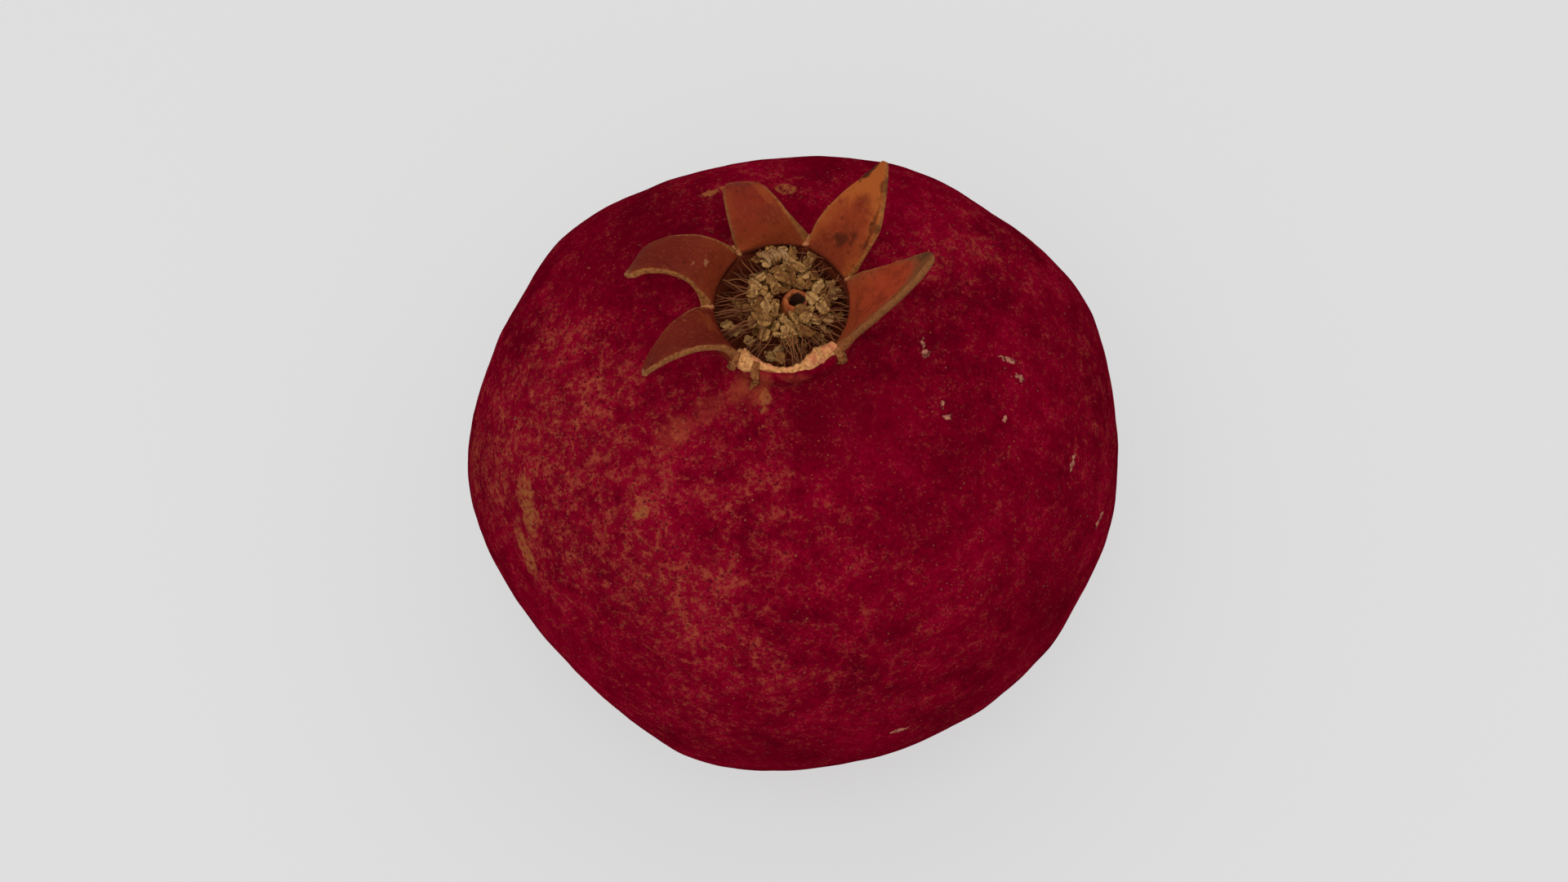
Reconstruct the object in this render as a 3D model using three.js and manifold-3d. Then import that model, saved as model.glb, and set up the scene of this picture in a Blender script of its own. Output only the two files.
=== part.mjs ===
// A whole ripe pomegranate standing on its stem end with its crown open upwards.
// Pieces: the fruit with its crown tube, five standing sepals, one torn sepal,
// the stamens in the crown, the style among them and the woody stub of the stem.
// Millimetres, +Z up. The origin is under the middle of the fruit's box, on the resting surface.
import * as THREE from 'three';
import { mergeVertices } from 'three/addons/utils/BufferGeometryUtils.js';
import Module from 'manifold-3d';

// Body of the fruit
const BODY_RADIUS = 46;       // at the waist, before the flats are pressed in
const WAIST_Z = 37;           // height of the widest girth
const SHOULDER_Z = 82;        // height of the body where the crown starts
const LOWER_FULLNESS = 2.15;  // 2 is an ellipse, more is squarer
const UPPER_FULLNESS = 2.25;
const BASE_RADIUS = 15;       // flat ring that the fruit rests on
const DIMPLE_RADIUS = 6.5;    // hollow at the stem end
const DIMPLE_DEPTH = 3;

// Crown tube
const CROWN_X = -1.5;         // the crown stands a little off the middle of the body
const CROWN_RADIUS = 8.8;     // middle of the tube's wall, where the sepals stand
const CROWN_WALL = 1.6;
const NECK_HEIGHT = 4.7;      // rim above the shoulder
const NECK_FILLET = 3.6;      // how far the foot of the neck spreads
const CUP_DEPTH = 9.2;        // floor of the crown below its rim
const RIM_ROUND = 0.45;

// Small pieces
const SEAT_GAP = 0.3;         // between a piece and what it grows from
const SEPAL_THICKNESS = 1.5;  // at the foot
const SEPAL_EDGE = 0.5;       // at the edges and the tip
const TORN_HEIGHT = 1.5;      // what is left of the torn sepal
const STYLE_RADIUS = 1.25;
const STYLE_HEIGHT = 7.8;
const STYLE_HOLE_RADIUS = 0.75;
const STYLE_LEAN = [0.21, 0.16];   // of its top, in cup radii
const HEAP_LEAN = [0.1, 0.075];    // of the heap of anthers, which leans the same way
const FILAMENT_RADIUS = 0.2;
const FILAMENT_ROOM = 0.9;    // between the heap of anthers and the wall
const HEAP_CLEARANCE = 0.1;   // between the heap and the style
const ANTHER_WIDTH_FILL = 0.385;   // half width of an anther as a share of the rings' pitch
const ANTHER_LENGTH_FILL = 0.39;   // half length as a share of the room along its ring
const STUB_RADIUS = 3.2;
const STUB_HEIGHT = 2.2;

// Flats that the seeds press into the rind: azimuth, elevation (degrees) and depth
const FLATS_Z = 40;           // height of the middle that they are measured from
const FLAT_SOFTNESS = 8;      // how softly a flat runs into the round
const FLATS = [
  [10, 2, 0.4],
  [56, 21, 5.0],
  [92, 24, 7.7],
  [117, 27, 5.3],
  [153, 11, 4.1],
  [218, -19, 6.3],
  [284, -28, 4.8],
  [312, -23, 2.5],
  [342, -13, 0.4],
  [30, -38, 2.1],
  [150, -40, 2.3],
];

// Standing sepals. Angles in degrees: where the sepal stands and the span of its foot,
// lean from upright (foot, tip), sweep to the side and twist; bulge, taper, tip: outline.
const SEPALS = [
  { name: 'sepal_front_left', azimuth: 210, span: 50, length: 12.6, lean: [12, 148],
    sweep: [0, 6], twist: [0, -37], bulge: -0.12, taper: 1.8, tip: 0.9, flatten: 0.5 },
  { name: 'sepal_back_left', azimuth: 156, span: 54, length: 12.5, lean: [18, 154],
    sweep: [0, 44], twist: [4, -16], bulge: -0.3, taper: 1.85, tip: 0.35, flatten: 1.5 },
  { name: 'sepal_back', azimuth: 98, span: 56, length: 10, lean: [6, 153],
    sweep: [31, 13], twist: [10, -3], bulge: -0.2, taper: 3, tip: 1, flatten: 1.15 },
  { name: 'sepal_back_right', azimuth: 46, span: 45, length: 12.6, lean: [44, 61],
    sweep: [-3, 16], twist: [0, 30], bulge: 0.28, taper: 1.5, tip: 0.62, flatten: 0.8 },
  { name: 'sepal_right', azimuth: -10, span: 63, length: 12.8, lean: [28, 56],
    sweep: [2, 42], twist: [0, 19], bulge: 0, taper: 1.25, tip: 0.52, flatten: 0.56 },
];
const TORN_SPAN = [237, 316]; // azimuths between which the sixth sepal is torn away
const SEPAL_BLEND = 0.22;     // share of the length in which a sepal leaves the rim's circle

// Stamens in rings, from the wall inwards: count, depth of the anthers below the rim,
// and the depth below the rim at which their filaments leave the wall
const STAMEN_RINGS = [
  { count: 16, below: 2.3, root: 3.5, turn: 4 },
  { count: 13, below: 1.4, root: 5.1, turn: 17 },
  { count: 9, below: 0.9, root: 6.8, turn: 0 },
];
// Single stamens that stand by the wall, by azimuth
const LONE_STAMENS = [14, 62, 97, 178, 199, 270];
const LONE_FROM_WALL = 1.1;
const LONE_BELOW = 1.1;
const LONE_ROOT = 2.1;

// Fineness
const ROUND_STEPS = 56;
const BODY_ARC_STEPS = 12;
const SEPAL_LENGTH_STEPS = 12;
const SEPAL_WIDTH_STEPS = 6;
const TORN_STEPS = 28;
const FILAMENT_STEPS = 5;
const FILAMENT_SIDES = 4;

// Sizes that follow
const RIM_Z = SHOULDER_Z + NECK_HEIGHT;
const CUP_FLOOR_Z = RIM_Z - CUP_DEPTH;
const TUBE_OUTER = CROWN_RADIUS + CROWN_WALL / 2;
const TUBE_INNER = CROWN_RADIUS - CROWN_WALL / 2;
const SEPAL_FOOT_Z = RIM_Z + SEAT_GAP;
const ROOT_RADIUS = TUBE_INNER - SEAT_GAP - 0.05;
const STYLE_TOP = STYLE_LEAN.map((share) => share * TUBE_INNER);
const HEAP_MIDDLE = HEAP_LEAN.map((share) => share * TUBE_INNER);
const HEAP_OUTER = TUBE_INNER - Math.hypot(...HEAP_MIDDLE) - FILAMENT_ROOM;
const STYLE_OFFSET = Math.hypot(STYLE_TOP[0] - HEAP_MIDDLE[0], STYLE_TOP[1] - HEAP_MIDDLE[1]);
const HEAP_INNER = STYLE_OFFSET + STYLE_RADIUS + HEAP_CLEARANCE;
const RING_PITCH = (HEAP_OUTER - HEAP_INNER) / (STAMEN_RINGS.length - 1 + 2 * ANTHER_WIDTH_FILL);
const ANTHER_HALF_WIDTH = RING_PITCH * ANTHER_WIDTH_FILL;

const wasm = await Module();
wasm.setup();

const radians = THREE.MathUtils.degToRad;
const mix = THREE.MathUtils.lerp;
const smooth = (low, high, value) => THREE.MathUtils.smoothstep(value, low, high);

// ---------------------------------------------------------------- shared helpers

// The larger of value and 0, with a soft corner
function softPositive(value, softness) {
  const near = Math.max(softness - Math.abs(value), 0) / softness;
  return Math.max(value, 0) + near ** 3 * softness / 6;
}

// Moves every vertex of a geometry by a function of its position
function reshape(geometry, move) {
  const position = geometry.attributes.position;
  const point = new THREE.Vector3();
  for (let i = 0; i < position.count; i++) {
    point.fromBufferAttribute(position, i);
    const moved = move(point);
    position.setXYZ(i, moved.x, moved.y, moved.z);
  }
  return geometry;
}

// Keeps only positions and merges the vertices that coincide
function welded(geometry) {
  geometry.deleteAttribute('normal');
  geometry.deleteAttribute('uv');
  const merged = mergeVertices(geometry, 1e-4);
  const index = merged.index.array;
  const kept = [];
  for (let i = 0; i < index.length; i += 3) {
    const [a, b, c] = [index[i], index[i + 1], index[i + 2]];
    if (a !== b && b !== c && c !== a) kept.push(a, b, c);
  }
  merged.setIndex(kept);
  merged.computeVertexNormals();
  return merged;
}

function toSolid(geometry) {
  const merged = welded(geometry);
  return new wasm.Manifold(new wasm.Mesh({
    numProp: 3,
    vertProperties: new Float32Array(merged.attributes.position.array),
    triVerts: new Uint32Array(merged.index.array),
  }));
}

function fromSolid(solid) {
  const { vertProperties, triVerts } = solid.getMesh();
  const geometry = new THREE.BufferGeometry();
  geometry.setAttribute('position', new THREE.BufferAttribute(vertProperties, 3));
  geometry.setIndex(new THREE.BufferAttribute(triVerts, 1));
  geometry.computeVertexNormals();
  return geometry;
}

// A lathe round +Z from a profile of (radius, height) points that runs from the axis to the axis
function turned(profile, steps = ROUND_STEPS) {
  return new THREE.LatheGeometry(profile, steps).rotateX(Math.PI / 2);
}

function onCircle(radius, azimuth, z) {
  return new THREE.Vector3(radius * Math.cos(azimuth), radius * Math.sin(azimuth), z);
}

const parts = new THREE.Group();

function addPart(name, geometry, colour, roughness) {
  const material = new THREE.MeshStandardMaterial({ color: colour, roughness, metalness: 0 });
  const mesh = new THREE.Mesh(geometry, material);
  mesh.name = name;
  parts.add(mesh);
  return mesh;
}

// ---------------------------------------------------------------- the fruit

// A quarter of a full oval between two radii and two heights, t from 0 to a right angle
function bodyPoint(t, fullness, innerRadius, startZ, endZ) {
  const reach = innerRadius + (BODY_RADIUS - innerRadius) * Math.cos(t) ** (2 / fullness);
  return new THREE.Vector2(reach, mix(startZ, endZ, Math.sin(t) ** (2 / fullness)));
}

function lowerArc() {
  const points = [];
  for (let i = 0; i <= BODY_ARC_STEPS; i++) {
    const t = Math.PI / 2 * (1 - i / BODY_ARC_STEPS);
    points.push(bodyPoint(t, LOWER_FULLNESS, BASE_RADIUS, WAIST_Z, 0));
  }
  return points;
}

function upperArc() {
  const points = [];
  for (let i = 1; i < BODY_ARC_STEPS; i++) {
    const t = Math.PI / 2 * i / BODY_ARC_STEPS;
    points.push(bodyPoint(t, UPPER_FULLNESS, TUBE_OUTER, WAIST_Z, SHOULDER_Z));
  }
  return points.filter((p) => p.x > TUBE_OUTER + NECK_FILLET);
}

function dimpleArc() {
  const edge = new THREE.QuadraticBezierCurve(
    new THREE.Vector2(DIMPLE_RADIUS * 0.7, DIMPLE_DEPTH),
    new THREE.Vector2(DIMPLE_RADIUS * 0.95, DIMPLE_DEPTH),
    new THREE.Vector2(DIMPLE_RADIUS, 0),
  );
  return [new THREE.Vector2(0, DIMPLE_DEPTH), ...edge.getPoints(4)];
}

function neckAndCup() {
  const foot = upperArc().at(-1);
  const fillet = new THREE.QuadraticBezierCurve(
    foot,
    new THREE.Vector2(TUBE_OUTER + 0.3, SHOULDER_Z),
    new THREE.Vector2(TUBE_OUTER, SHOULDER_Z + NECK_HEIGHT * 0.55),
  );
  const floorRound = new THREE.QuadraticBezierCurve(
    new THREE.Vector2(TUBE_INNER, CUP_FLOOR_Z + 1.6),
    new THREE.Vector2(TUBE_INNER, CUP_FLOOR_Z),
    new THREE.Vector2(TUBE_INNER - 1.6, CUP_FLOOR_Z),
  );
  return [
    ...fillet.getPoints(6).slice(1),
    new THREE.Vector2(TUBE_OUTER, RIM_Z - RIM_ROUND),
    new THREE.Vector2(TUBE_OUTER - RIM_ROUND, RIM_Z),
    new THREE.Vector2(TUBE_INNER + RIM_ROUND, RIM_Z),
    new THREE.Vector2(TUBE_INNER, RIM_Z - RIM_ROUND),
    ...floorRound.getPoints(3),
    new THREE.Vector2(0, CUP_FLOOR_Z),
  ];
}

const bodyOutline = [...lowerArc(), ...upperArc()];

// How far the body reaches from its middle in the direction of a flat
function bodyReach(elevation) {
  const reaches = bodyOutline.map(
    (p) => p.x * Math.cos(elevation) + (p.y - FLATS_Z) * Math.sin(elevation),
  );
  return Math.max(...reaches);
}

// Each flat pushes the skin back to a plane; none of them touches the base ring or the crown
function pressFlats(point) {
  const pressed = point.clone();
  for (const [azimuth, elevation, depth] of FLATS) {
    const normal = onCircle(Math.cos(radians(elevation)), radians(azimuth), Math.sin(radians(elevation)));
    const beyond = normal.dot(pressed) - normal.z * FLATS_Z - bodyReach(radians(elevation)) + depth;
    const fade = smooth(BASE_RADIUS, BASE_RADIUS + 8, Math.hypot(point.x, point.y));
    pressed.addScaledVector(normal, -softPositive(beyond, FLAT_SOFTNESS) * fade);
  }
  return pressed;
}

// The crown stands off the middle: the skin above the shoulder slides over with it
function slideCrown(point) {
  const radius = Math.hypot(point.x, point.y);
  const high = point.z > WAIST_Z ? 1 : 0;
  const share = high * (1 - smooth(TUBE_OUTER + NECK_FILLET, BODY_RADIUS * 0.7, radius));
  return new THREE.Vector3(point.x + CROWN_X * share, point.y, point.z);
}

function fruitGeometry() {
  const profile = [...dimpleArc(), ...bodyOutline, ...neckAndCup()];
  return reshape(turned(profile), (point) => slideCrown(pressFlats(point)));
}

// ---------------------------------------------------------------- sepals

// Point of a sepal's middle layer: u from -1 to 1 across it, s from 0 at the foot to 1 at the tip
function sepalSheet(sepal) {
  const azimuth = radians(sepal.azimuth);
  const halfSpan = radians(sepal.span / 2);
  const outward = onCircle(1, azimuth, 0);
  const sideways = onCircle(1, azimuth + Math.PI / 2, 0);
  const upward = new THREE.Vector3(0, 0, 1);
  const footHalfWidth = CROWN_RADIUS * Math.sin(halfSpan);
  const footBow = CROWN_RADIUS * (1 - Math.cos(halfSpan));

  const along = (s) => {
    const lean = radians(mix(sepal.lean[0], sepal.lean[1], s));
    const sweep = radians(mix(sepal.sweep[0], sepal.sweep[1], s));
    const rising = outward.clone().multiplyScalar(Math.sin(lean))
      .addScaledVector(upward, Math.cos(lean));
    const direction = rising.clone().multiplyScalar(Math.cos(sweep))
      .addScaledVector(sideways, Math.sin(sweep));
    const across = sideways.clone().multiplyScalar(Math.cos(sweep))
      .addScaledVector(rising, -Math.sin(sweep));
    return { direction, across };
  };

  const midline = [onCircle(CROWN_RADIUS, azimuth, SEPAL_FOOT_Z)];
  const pieces = 48;
  for (let i = 0; i < pieces; i++) {
    const step = along((i + 0.5) / pieces).direction.multiplyScalar(sepal.length / pieces);
    midline.push(midline[i].clone().add(step));
  }
  const midlineAt = (s) => {
    const i = Math.min(Math.floor(s * pieces), pieces - 1);
    return midline[i].clone().lerp(midline[i + 1], s * pieces - i);
  };

  const frameAt = (s) => {
    const { direction, across } = along(s);
    const normal = across.clone().cross(direction);
    const twist = radians(mix(sepal.twist[0], sepal.twist[1], s));
    return {
      across: across.clone().multiplyScalar(Math.cos(twist))
        .addScaledVector(normal, Math.sin(twist)),
      normal: normal.clone().multiplyScalar(Math.cos(twist))
        .addScaledVector(across, -Math.sin(twist)),
    };
  };

  const sheetPoint = (u, s) => {
    const { across, normal } = frameAt(s);
    const outline = Math.max(1 - s ** sepal.taper, 0) ** sepal.tip;
    const halfWidth = Math.max(
      footHalfWidth * outline * (1 + sepal.bulge * Math.sin(Math.PI * s)),
      SEPAL_EDGE / 2,
    );
    const bow = footBow * (halfWidth / footHalfWidth) ** 2 * (1 - s * sepal.flatten);
    return midlineAt(s).addScaledVector(across, u * halfWidth).addScaledVector(normal, -bow * u * u);
  };

  // The foot lies exactly on the rim's circle, and the difference fades out up the sepal
  const footPoint = (u) => onCircle(CROWN_RADIUS, azimuth + u * halfSpan, SEPAL_FOOT_Z);
  const middle = (u, s) => {
    const foot = footPoint(u).sub(sheetPoint(u, 0));
    return sheetPoint(u, s).addScaledVector(foot, 1 - smooth(0, SEPAL_BLEND, s));
  };
  const normalAt = (u, s) => {
    const level = onCircle(1, azimuth + u * halfSpan, 0);
    return level.lerp(frameAt(s).normal, smooth(0, SEPAL_BLEND, s)).normalize();
  };
  return { middle, normalAt };
}

// A box whose length runs up the sepal, bent onto its sheet; thinner towards edges and tip
function sepalGeometry(sepal) {
  const { middle, normalAt } = sepalSheet(sepal);
  const box = new THREE.BoxGeometry(2, 2, 1, SEPAL_WIDTH_STEPS, 1, SEPAL_LENGTH_STEPS);
  return reshape(box, (point) => {
    const u = point.x;
    const s = Math.sin(Math.PI / 2 * (point.z + 0.5));
    const body = (1 - Math.abs(u) ** 3) * (1 - s ** 2);
    const foot = 1 - smooth(0, SEPAL_BLEND, s);
    const share = Math.max(body, foot);
    const thickness = mix(SEPAL_EDGE, SEPAL_THICKNESS, share);
    return middle(u, s).addScaledVector(normalAt(u, s), -point.y * thickness / 2);
  });
}

// What is left of the sixth sepal: a low ragged band on the rim
function tornSepalGeometry() {
  const box = new THREE.BoxGeometry(2, 2, 1, TORN_STEPS, 1, 1);
  return reshape(box, (point) => {
    const share = (1 - point.x) / 2;
    const azimuth = radians(mix(TORN_SPAN[0], TORN_SPAN[1], share));
    const ragged = 0.62 + 0.2 * Math.sin(share * 29) + 0.18 * Math.sin(share * 47 + 1);
    const ends = Math.abs(2 * share - 1) ** 6;
    const height = TORN_HEIGHT * (point.z > 0 ? ragged + 0.5 * ends : 0);
    const outer = point.y > 0 ? 1 : -1;
    const half = (CROWN_WALL / 2) * (point.z > 0 ? 0.75 : 1);
    return onCircle(CROWN_RADIUS + outer * half, azimuth, SEPAL_FOOT_Z + height);
  });
}

// ---------------------------------------------------------------- stamens and style

// A small steady variation between -1 and 1 that differs from stamen to stamen
function wobble(seed) {
  return Math.sin(seed * 12.9) * Math.cos(seed * 4.7 + 1);
}

function stamenGeometry(root, bend, anther, turn, halfLength) {
  const path = new THREE.QuadraticBezierCurve3(root, bend, anther);
  const section = new THREE.Shape();
  for (let i = 0; i < FILAMENT_SIDES; i++) {
    const corner = onCircle(FILAMENT_RADIUS, 2 * Math.PI * i / FILAMENT_SIDES, 0);
    if (i === 0) section.moveTo(corner.x, corner.y);
    else section.lineTo(corner.x, corner.y);
  }
  const filament = new THREE.ExtrudeGeometry(section, {
    steps: FILAMENT_STEPS, bevelEnabled: false, extrudePath: path,
  });
  const bean = new THREE.SphereGeometry(1, 7, 5)
    .scale(ANTHER_HALF_WIDTH, halfLength, ANTHER_HALF_WIDTH)
    .rotateZ(turn)
    .translate(anther.x, anther.y, anther.z);
  return fromSolid(toSolid(filament).add(toSolid(bean)));
}

function stamenAt(azimuth, ring, middle, seed) {
  const placed = azimuth + radians(3 * wobble(seed));
  const anther = onCircle(ring.radius, placed, RIM_Z - ring.below + 0.12 * wobble(seed + 5));
  anther.x += middle[0];
  anther.y += middle[1];
  const antherAzimuth = Math.atan2(anther.y, anther.x);
  const antherRadius = Math.hypot(anther.x, anther.y);
  const root = onCircle(ROOT_RADIUS, placed, RIM_Z - ring.root);
  const bend = onCircle(mix(antherRadius, ROOT_RADIUS, 0.08), antherAzimuth, RIM_Z - ring.root + 0.3);
  const turn = antherAzimuth + radians(22 * wobble(seed + 9));
  return stamenGeometry(root, bend, anther, turn, ANTHER_LENGTH_FILL * ring.spacing);
}

function stamenGeometries() {
  const stamens = [];
  STAMEN_RINGS.forEach((sizes, k) => {
    const radius = HEAP_OUTER - ANTHER_HALF_WIDTH - k * RING_PITCH;
    const ring = { ...sizes, radius, spacing: 2 * Math.PI * radius / sizes.count };
    for (let i = 0; i < ring.count; i++) {
      const azimuth = radians(ring.turn + i * 360 / ring.count);
      stamens.push(stamenAt(azimuth, ring, HEAP_MIDDLE, stamens.length));
    }
  });
  const lone = {
    radius: TUBE_INNER - LONE_FROM_WALL, below: LONE_BELOW, root: LONE_ROOT, spacing: 2 * RING_PITCH * 0.8,
  };
  for (const azimuth of LONE_STAMENS) {
    stamens.push(stamenAt(radians(azimuth), lone, [0, 0], stamens.length));
  }
  return stamens;
}

// A hollow-ended stump that leans more the higher it goes
function styleGeometry() {
  const profile = [
    [0, 0], [STYLE_RADIUS * 1.3, 0], [STYLE_RADIUS * 1.3, 0.4], [STYLE_RADIUS, 2.4],
    [STYLE_RADIUS * 0.92, STYLE_HEIGHT * 0.6], [STYLE_RADIUS, STYLE_HEIGHT - 0.3],
    [STYLE_RADIUS * 0.85, STYLE_HEIGHT], [STYLE_HOLE_RADIUS, STYLE_HEIGHT - 0.1],
    [STYLE_HOLE_RADIUS * 0.8, STYLE_HEIGHT - 2.2], [0, STYLE_HEIGHT - 2.5],
  ].map(([radius, z]) => new THREE.Vector2(radius, z));
  return reshape(turned(profile, 20), (point) => {
    const lean = (Math.max(point.z, 0) / STYLE_HEIGHT) ** 1.4;
    return new THREE.Vector3(
      point.x + STYLE_TOP[0] * lean,
      point.y + STYLE_TOP[1] * lean,
      point.z + CUP_FLOOR_Z + SEAT_GAP,
    );
  });
}

// ---------------------------------------------------------------- stem stub

function stubGeometry() {
  const top = DIMPLE_DEPTH - SEAT_GAP;
  const bottom = top - STUB_HEIGHT;
  const profile = [
    [0, bottom + 0.3], [STUB_RADIUS * 0.5, bottom + 0.15], [STUB_RADIUS * 0.78, bottom],
    [STUB_RADIUS * 0.9, bottom + 0.4], [STUB_RADIUS, top], [0, top],
  ].map(([radius, z]) => new THREE.Vector2(radius, z));
  return reshape(turned(profile, 24), (point) => {
    const azimuth = Math.atan2(point.y, point.x);
    const uneven = 1 + 0.06 * Math.sin(3 * azimuth + 0.6);
    return new THREE.Vector3(point.x * uneven, point.y * uneven, point.z);
  });
}

// ---------------------------------------------------------------- assembly

const SKIN = 0x6d0b1a;
const SEPAL_BROWN = 0x733a1c;
const TORN_CREAM = 0xa46f43;
const STAMEN_TAN = 0x684324;
const STYLE_BROWN = 0x723719;
const WOOD = 0x5a4630;

const fruit = addPart('fruit', welded(fruitGeometry()), SKIN, 0.6);
const crown = new THREE.Group();
crown.position.x = CROWN_X;
for (const sepal of SEPALS) {
  crown.add(addPart(sepal.name, welded(sepalGeometry(sepal)), SEPAL_BROWN, 0.75));
}
crown.add(addPart('torn_sepal_front', welded(tornSepalGeometry()), TORN_CREAM, 0.8));
crown.add(addPart('style', welded(styleGeometry()), STYLE_BROWN, 0.8));
stamenGeometries().forEach((geometry, i) => {
  crown.add(addPart(`stamen_${String(i + 1).padStart(2, '0')}`, geometry, STAMEN_TAN, 0.85));
});
parts.add(crown);
addPart('stem_stub', welded(stubGeometry()), WOOD, 0.9);

// The flats take more off one side than the other: the middle of the fruit's box goes over the origin
fruit.geometry.computeBoundingBox();
const middleOfBox = fruit.geometry.boundingBox.getCenter(new THREE.Vector3());
parts.position.set(-middleOfBox.x, -middleOfBox.y, 0);

export default parts;
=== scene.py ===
# %% [markdown]
# # A whole pomegranate with its crown open
# The CAD model of the fruit is loaded first and stays as it is: it holds the sizes. Everything
# made below is the visible surface of one of its pieces, in the same place, with finer shape
# and with a finish. All lengths in this file are in millimetres until a mesh is made.

# %% The frame
import math
import random

import bpy
import numpy as np
from mathutils import Matrix, Vector


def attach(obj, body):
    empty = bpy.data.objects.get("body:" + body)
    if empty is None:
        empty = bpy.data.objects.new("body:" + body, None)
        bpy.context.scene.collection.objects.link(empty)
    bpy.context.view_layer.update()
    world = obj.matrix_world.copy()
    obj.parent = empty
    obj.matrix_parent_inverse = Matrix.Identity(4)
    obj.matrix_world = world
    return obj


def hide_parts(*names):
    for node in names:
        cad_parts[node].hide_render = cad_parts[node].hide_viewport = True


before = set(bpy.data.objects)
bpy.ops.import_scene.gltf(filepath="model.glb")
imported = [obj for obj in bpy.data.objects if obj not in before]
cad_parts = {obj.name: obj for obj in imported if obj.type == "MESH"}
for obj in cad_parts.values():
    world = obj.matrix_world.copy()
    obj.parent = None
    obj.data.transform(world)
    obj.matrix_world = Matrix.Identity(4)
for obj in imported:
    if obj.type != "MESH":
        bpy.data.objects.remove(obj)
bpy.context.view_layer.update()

MM = 0.001
print("CAD pieces:", len(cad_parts))

# %% [markdown]
# ## Short hands for nodes
# Both materials and shape trees are long sums of small nodes. A socket wrapped in `Value` can be
# added, multiplied and compared like a number, and each step adds the node that does it.

# %% Node helpers


def plug(tree, slot, value):
    if isinstance(value, Value):
        tree.links.new(value.socket, slot)
    else:
        slot.default_value = value


def add(tree, kind, inputs=None, output=0, **settings):
    """Adds a node, sets it, fills its inputs by name or number and returns one output."""
    node = tree.nodes.new(kind)
    for name, value in settings.items():
        setattr(node, name, value)
    for name, value in (inputs or {}).items():
        plug(tree, node.inputs[name], value)
    return Value(tree, node.outputs[output])


class Value:
    """An output socket that can be used in sums."""

    def __init__(self, tree, socket):
        self.tree, self.socket = tree, socket

    def math(self, operation, *others):
        inputs = dict(enumerate((self, *others)))
        return add(self.tree, "ShaderNodeMath", inputs, operation=operation)

    def vector(self, operation, *others, output=0):
        inputs = dict(enumerate((self, *others)))
        return add(self.tree, "ShaderNodeVectorMath", inputs, output, operation=operation)

    def __add__(self, other):
        return self.math("ADD", other)

    def __sub__(self, other):
        return self.math("SUBTRACT", other)

    def __mul__(self, other):
        return self.math("MULTIPLY", other)

    def __truediv__(self, other):
        return self.math("DIVIDE", other)

    def flipped(self):
        return self.math("MULTIPLY_ADD", -1.0, 1.0)

    def part(self, axis):
        """The x, y or z (0, 1 or 2) of a vector."""
        return add(self.tree, "ShaderNodeSeparateXYZ", {0: self}, axis)

    def along(self, direction):
        """How far a vector reaches in a direction."""
        return self.vector("DOT_PRODUCT", direction, output=1)

    def scaled(self, amount):
        """A vector times a number."""
        inputs = {0: self, "Scale": amount}
        return add(self.tree, "ShaderNodeVectorMath", inputs, operation="SCALE")

    def from_axis(self, middle=(0, 0, 0)):
        """How far a place is from the upright line through a point."""
        level = self.vector("SUBTRACT", tuple(middle)).vector("MULTIPLY", (1, 1, 0))
        return level.vector("LENGTH", output=1)

    def ramp(self, low, high, start=0.0, end=1.0):
        """Smoothly from start to end while this value goes from low to high."""
        inputs = {"Value": self, "From Min": low, "From Max": high, "To Min": start, "To Max": end}
        return add(self.tree, "ShaderNodeMapRange", inputs, interpolation_type="SMOOTHSTEP")


def colour(red, green, blue):
    """A screen colour from 0 to 255 as the linear colour that nodes use."""
    def linear(c):
        c /= 255
        return c / 12.92 if c <= 0.04045 else ((c + 0.055) / 1.055) ** 2.4
    return (linear(red), linear(green), linear(blue), 1.0)


def mixed(tree, share, first, second):
    """A colour between two others."""
    inputs = {"Factor": share, 6: first, 7: second}
    return add(tree, "ShaderNodeMix", inputs, 2, data_type="RGBA")


print("half grey as nodes see it:", round(colour(128, 128, 128)[0], 3))


# %% [markdown]
# ## The sizes
# The same values as in the CAD model, so that a finer surface lies where the plain one does.
# The crown stands a little off the middle of the fruit, and the whole is moved so that the
# middle of the fruit's box is over the origin.

# %% Sizes
BODY_RADIUS = 46.0
WAIST_Z = 37.0
SHOULDER_Z = 82.0
LOWER_FULLNESS = 2.15
UPPER_FULLNESS = 2.25
BASE_RADIUS = 15.0
DIMPLE_RADIUS = 6.5
DIMPLE_DEPTH = 3.0
CROWN_X = -1.5
CROWN_RADIUS = 8.8
CROWN_WALL = 1.6
NECK_HEIGHT = 4.7
NECK_FILLET = 3.6
CUP_DEPTH = 9.2
SEAT_GAP = 0.3
RIM_Z = SHOULDER_Z + NECK_HEIGHT
CUP_FLOOR_Z = RIM_Z - CUP_DEPTH
TUBE_OUTER = CROWN_RADIUS + CROWN_WALL / 2
TUBE_INNER = CROWN_RADIUS - CROWN_WALL / 2
SEPAL_FOOT_Z = RIM_Z + SEAT_GAP
FLATS_Z = 40.0
FLAT_SOFTNESS = 8.0

# Azimuth, elevation (degrees) and depth of the flats that the seeds press into the rind
FLATS = [
    (10, 2, 0.4), (56, 21, 5.0), (92, 24, 7.7), (117, 27, 5.3), (153, 11, 4.1), (218, -19, 6.3),
    (284, -28, 4.8), (312, -23, 2.5), (342, -13, 0.4), (30, -38, 2.1), (150, -40, 2.3),
]
print(f"{2 * BODY_RADIUS:.0f} mm wide before {len(FLATS)} flats are pressed in, rim at {RIM_Z} mm")

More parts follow.
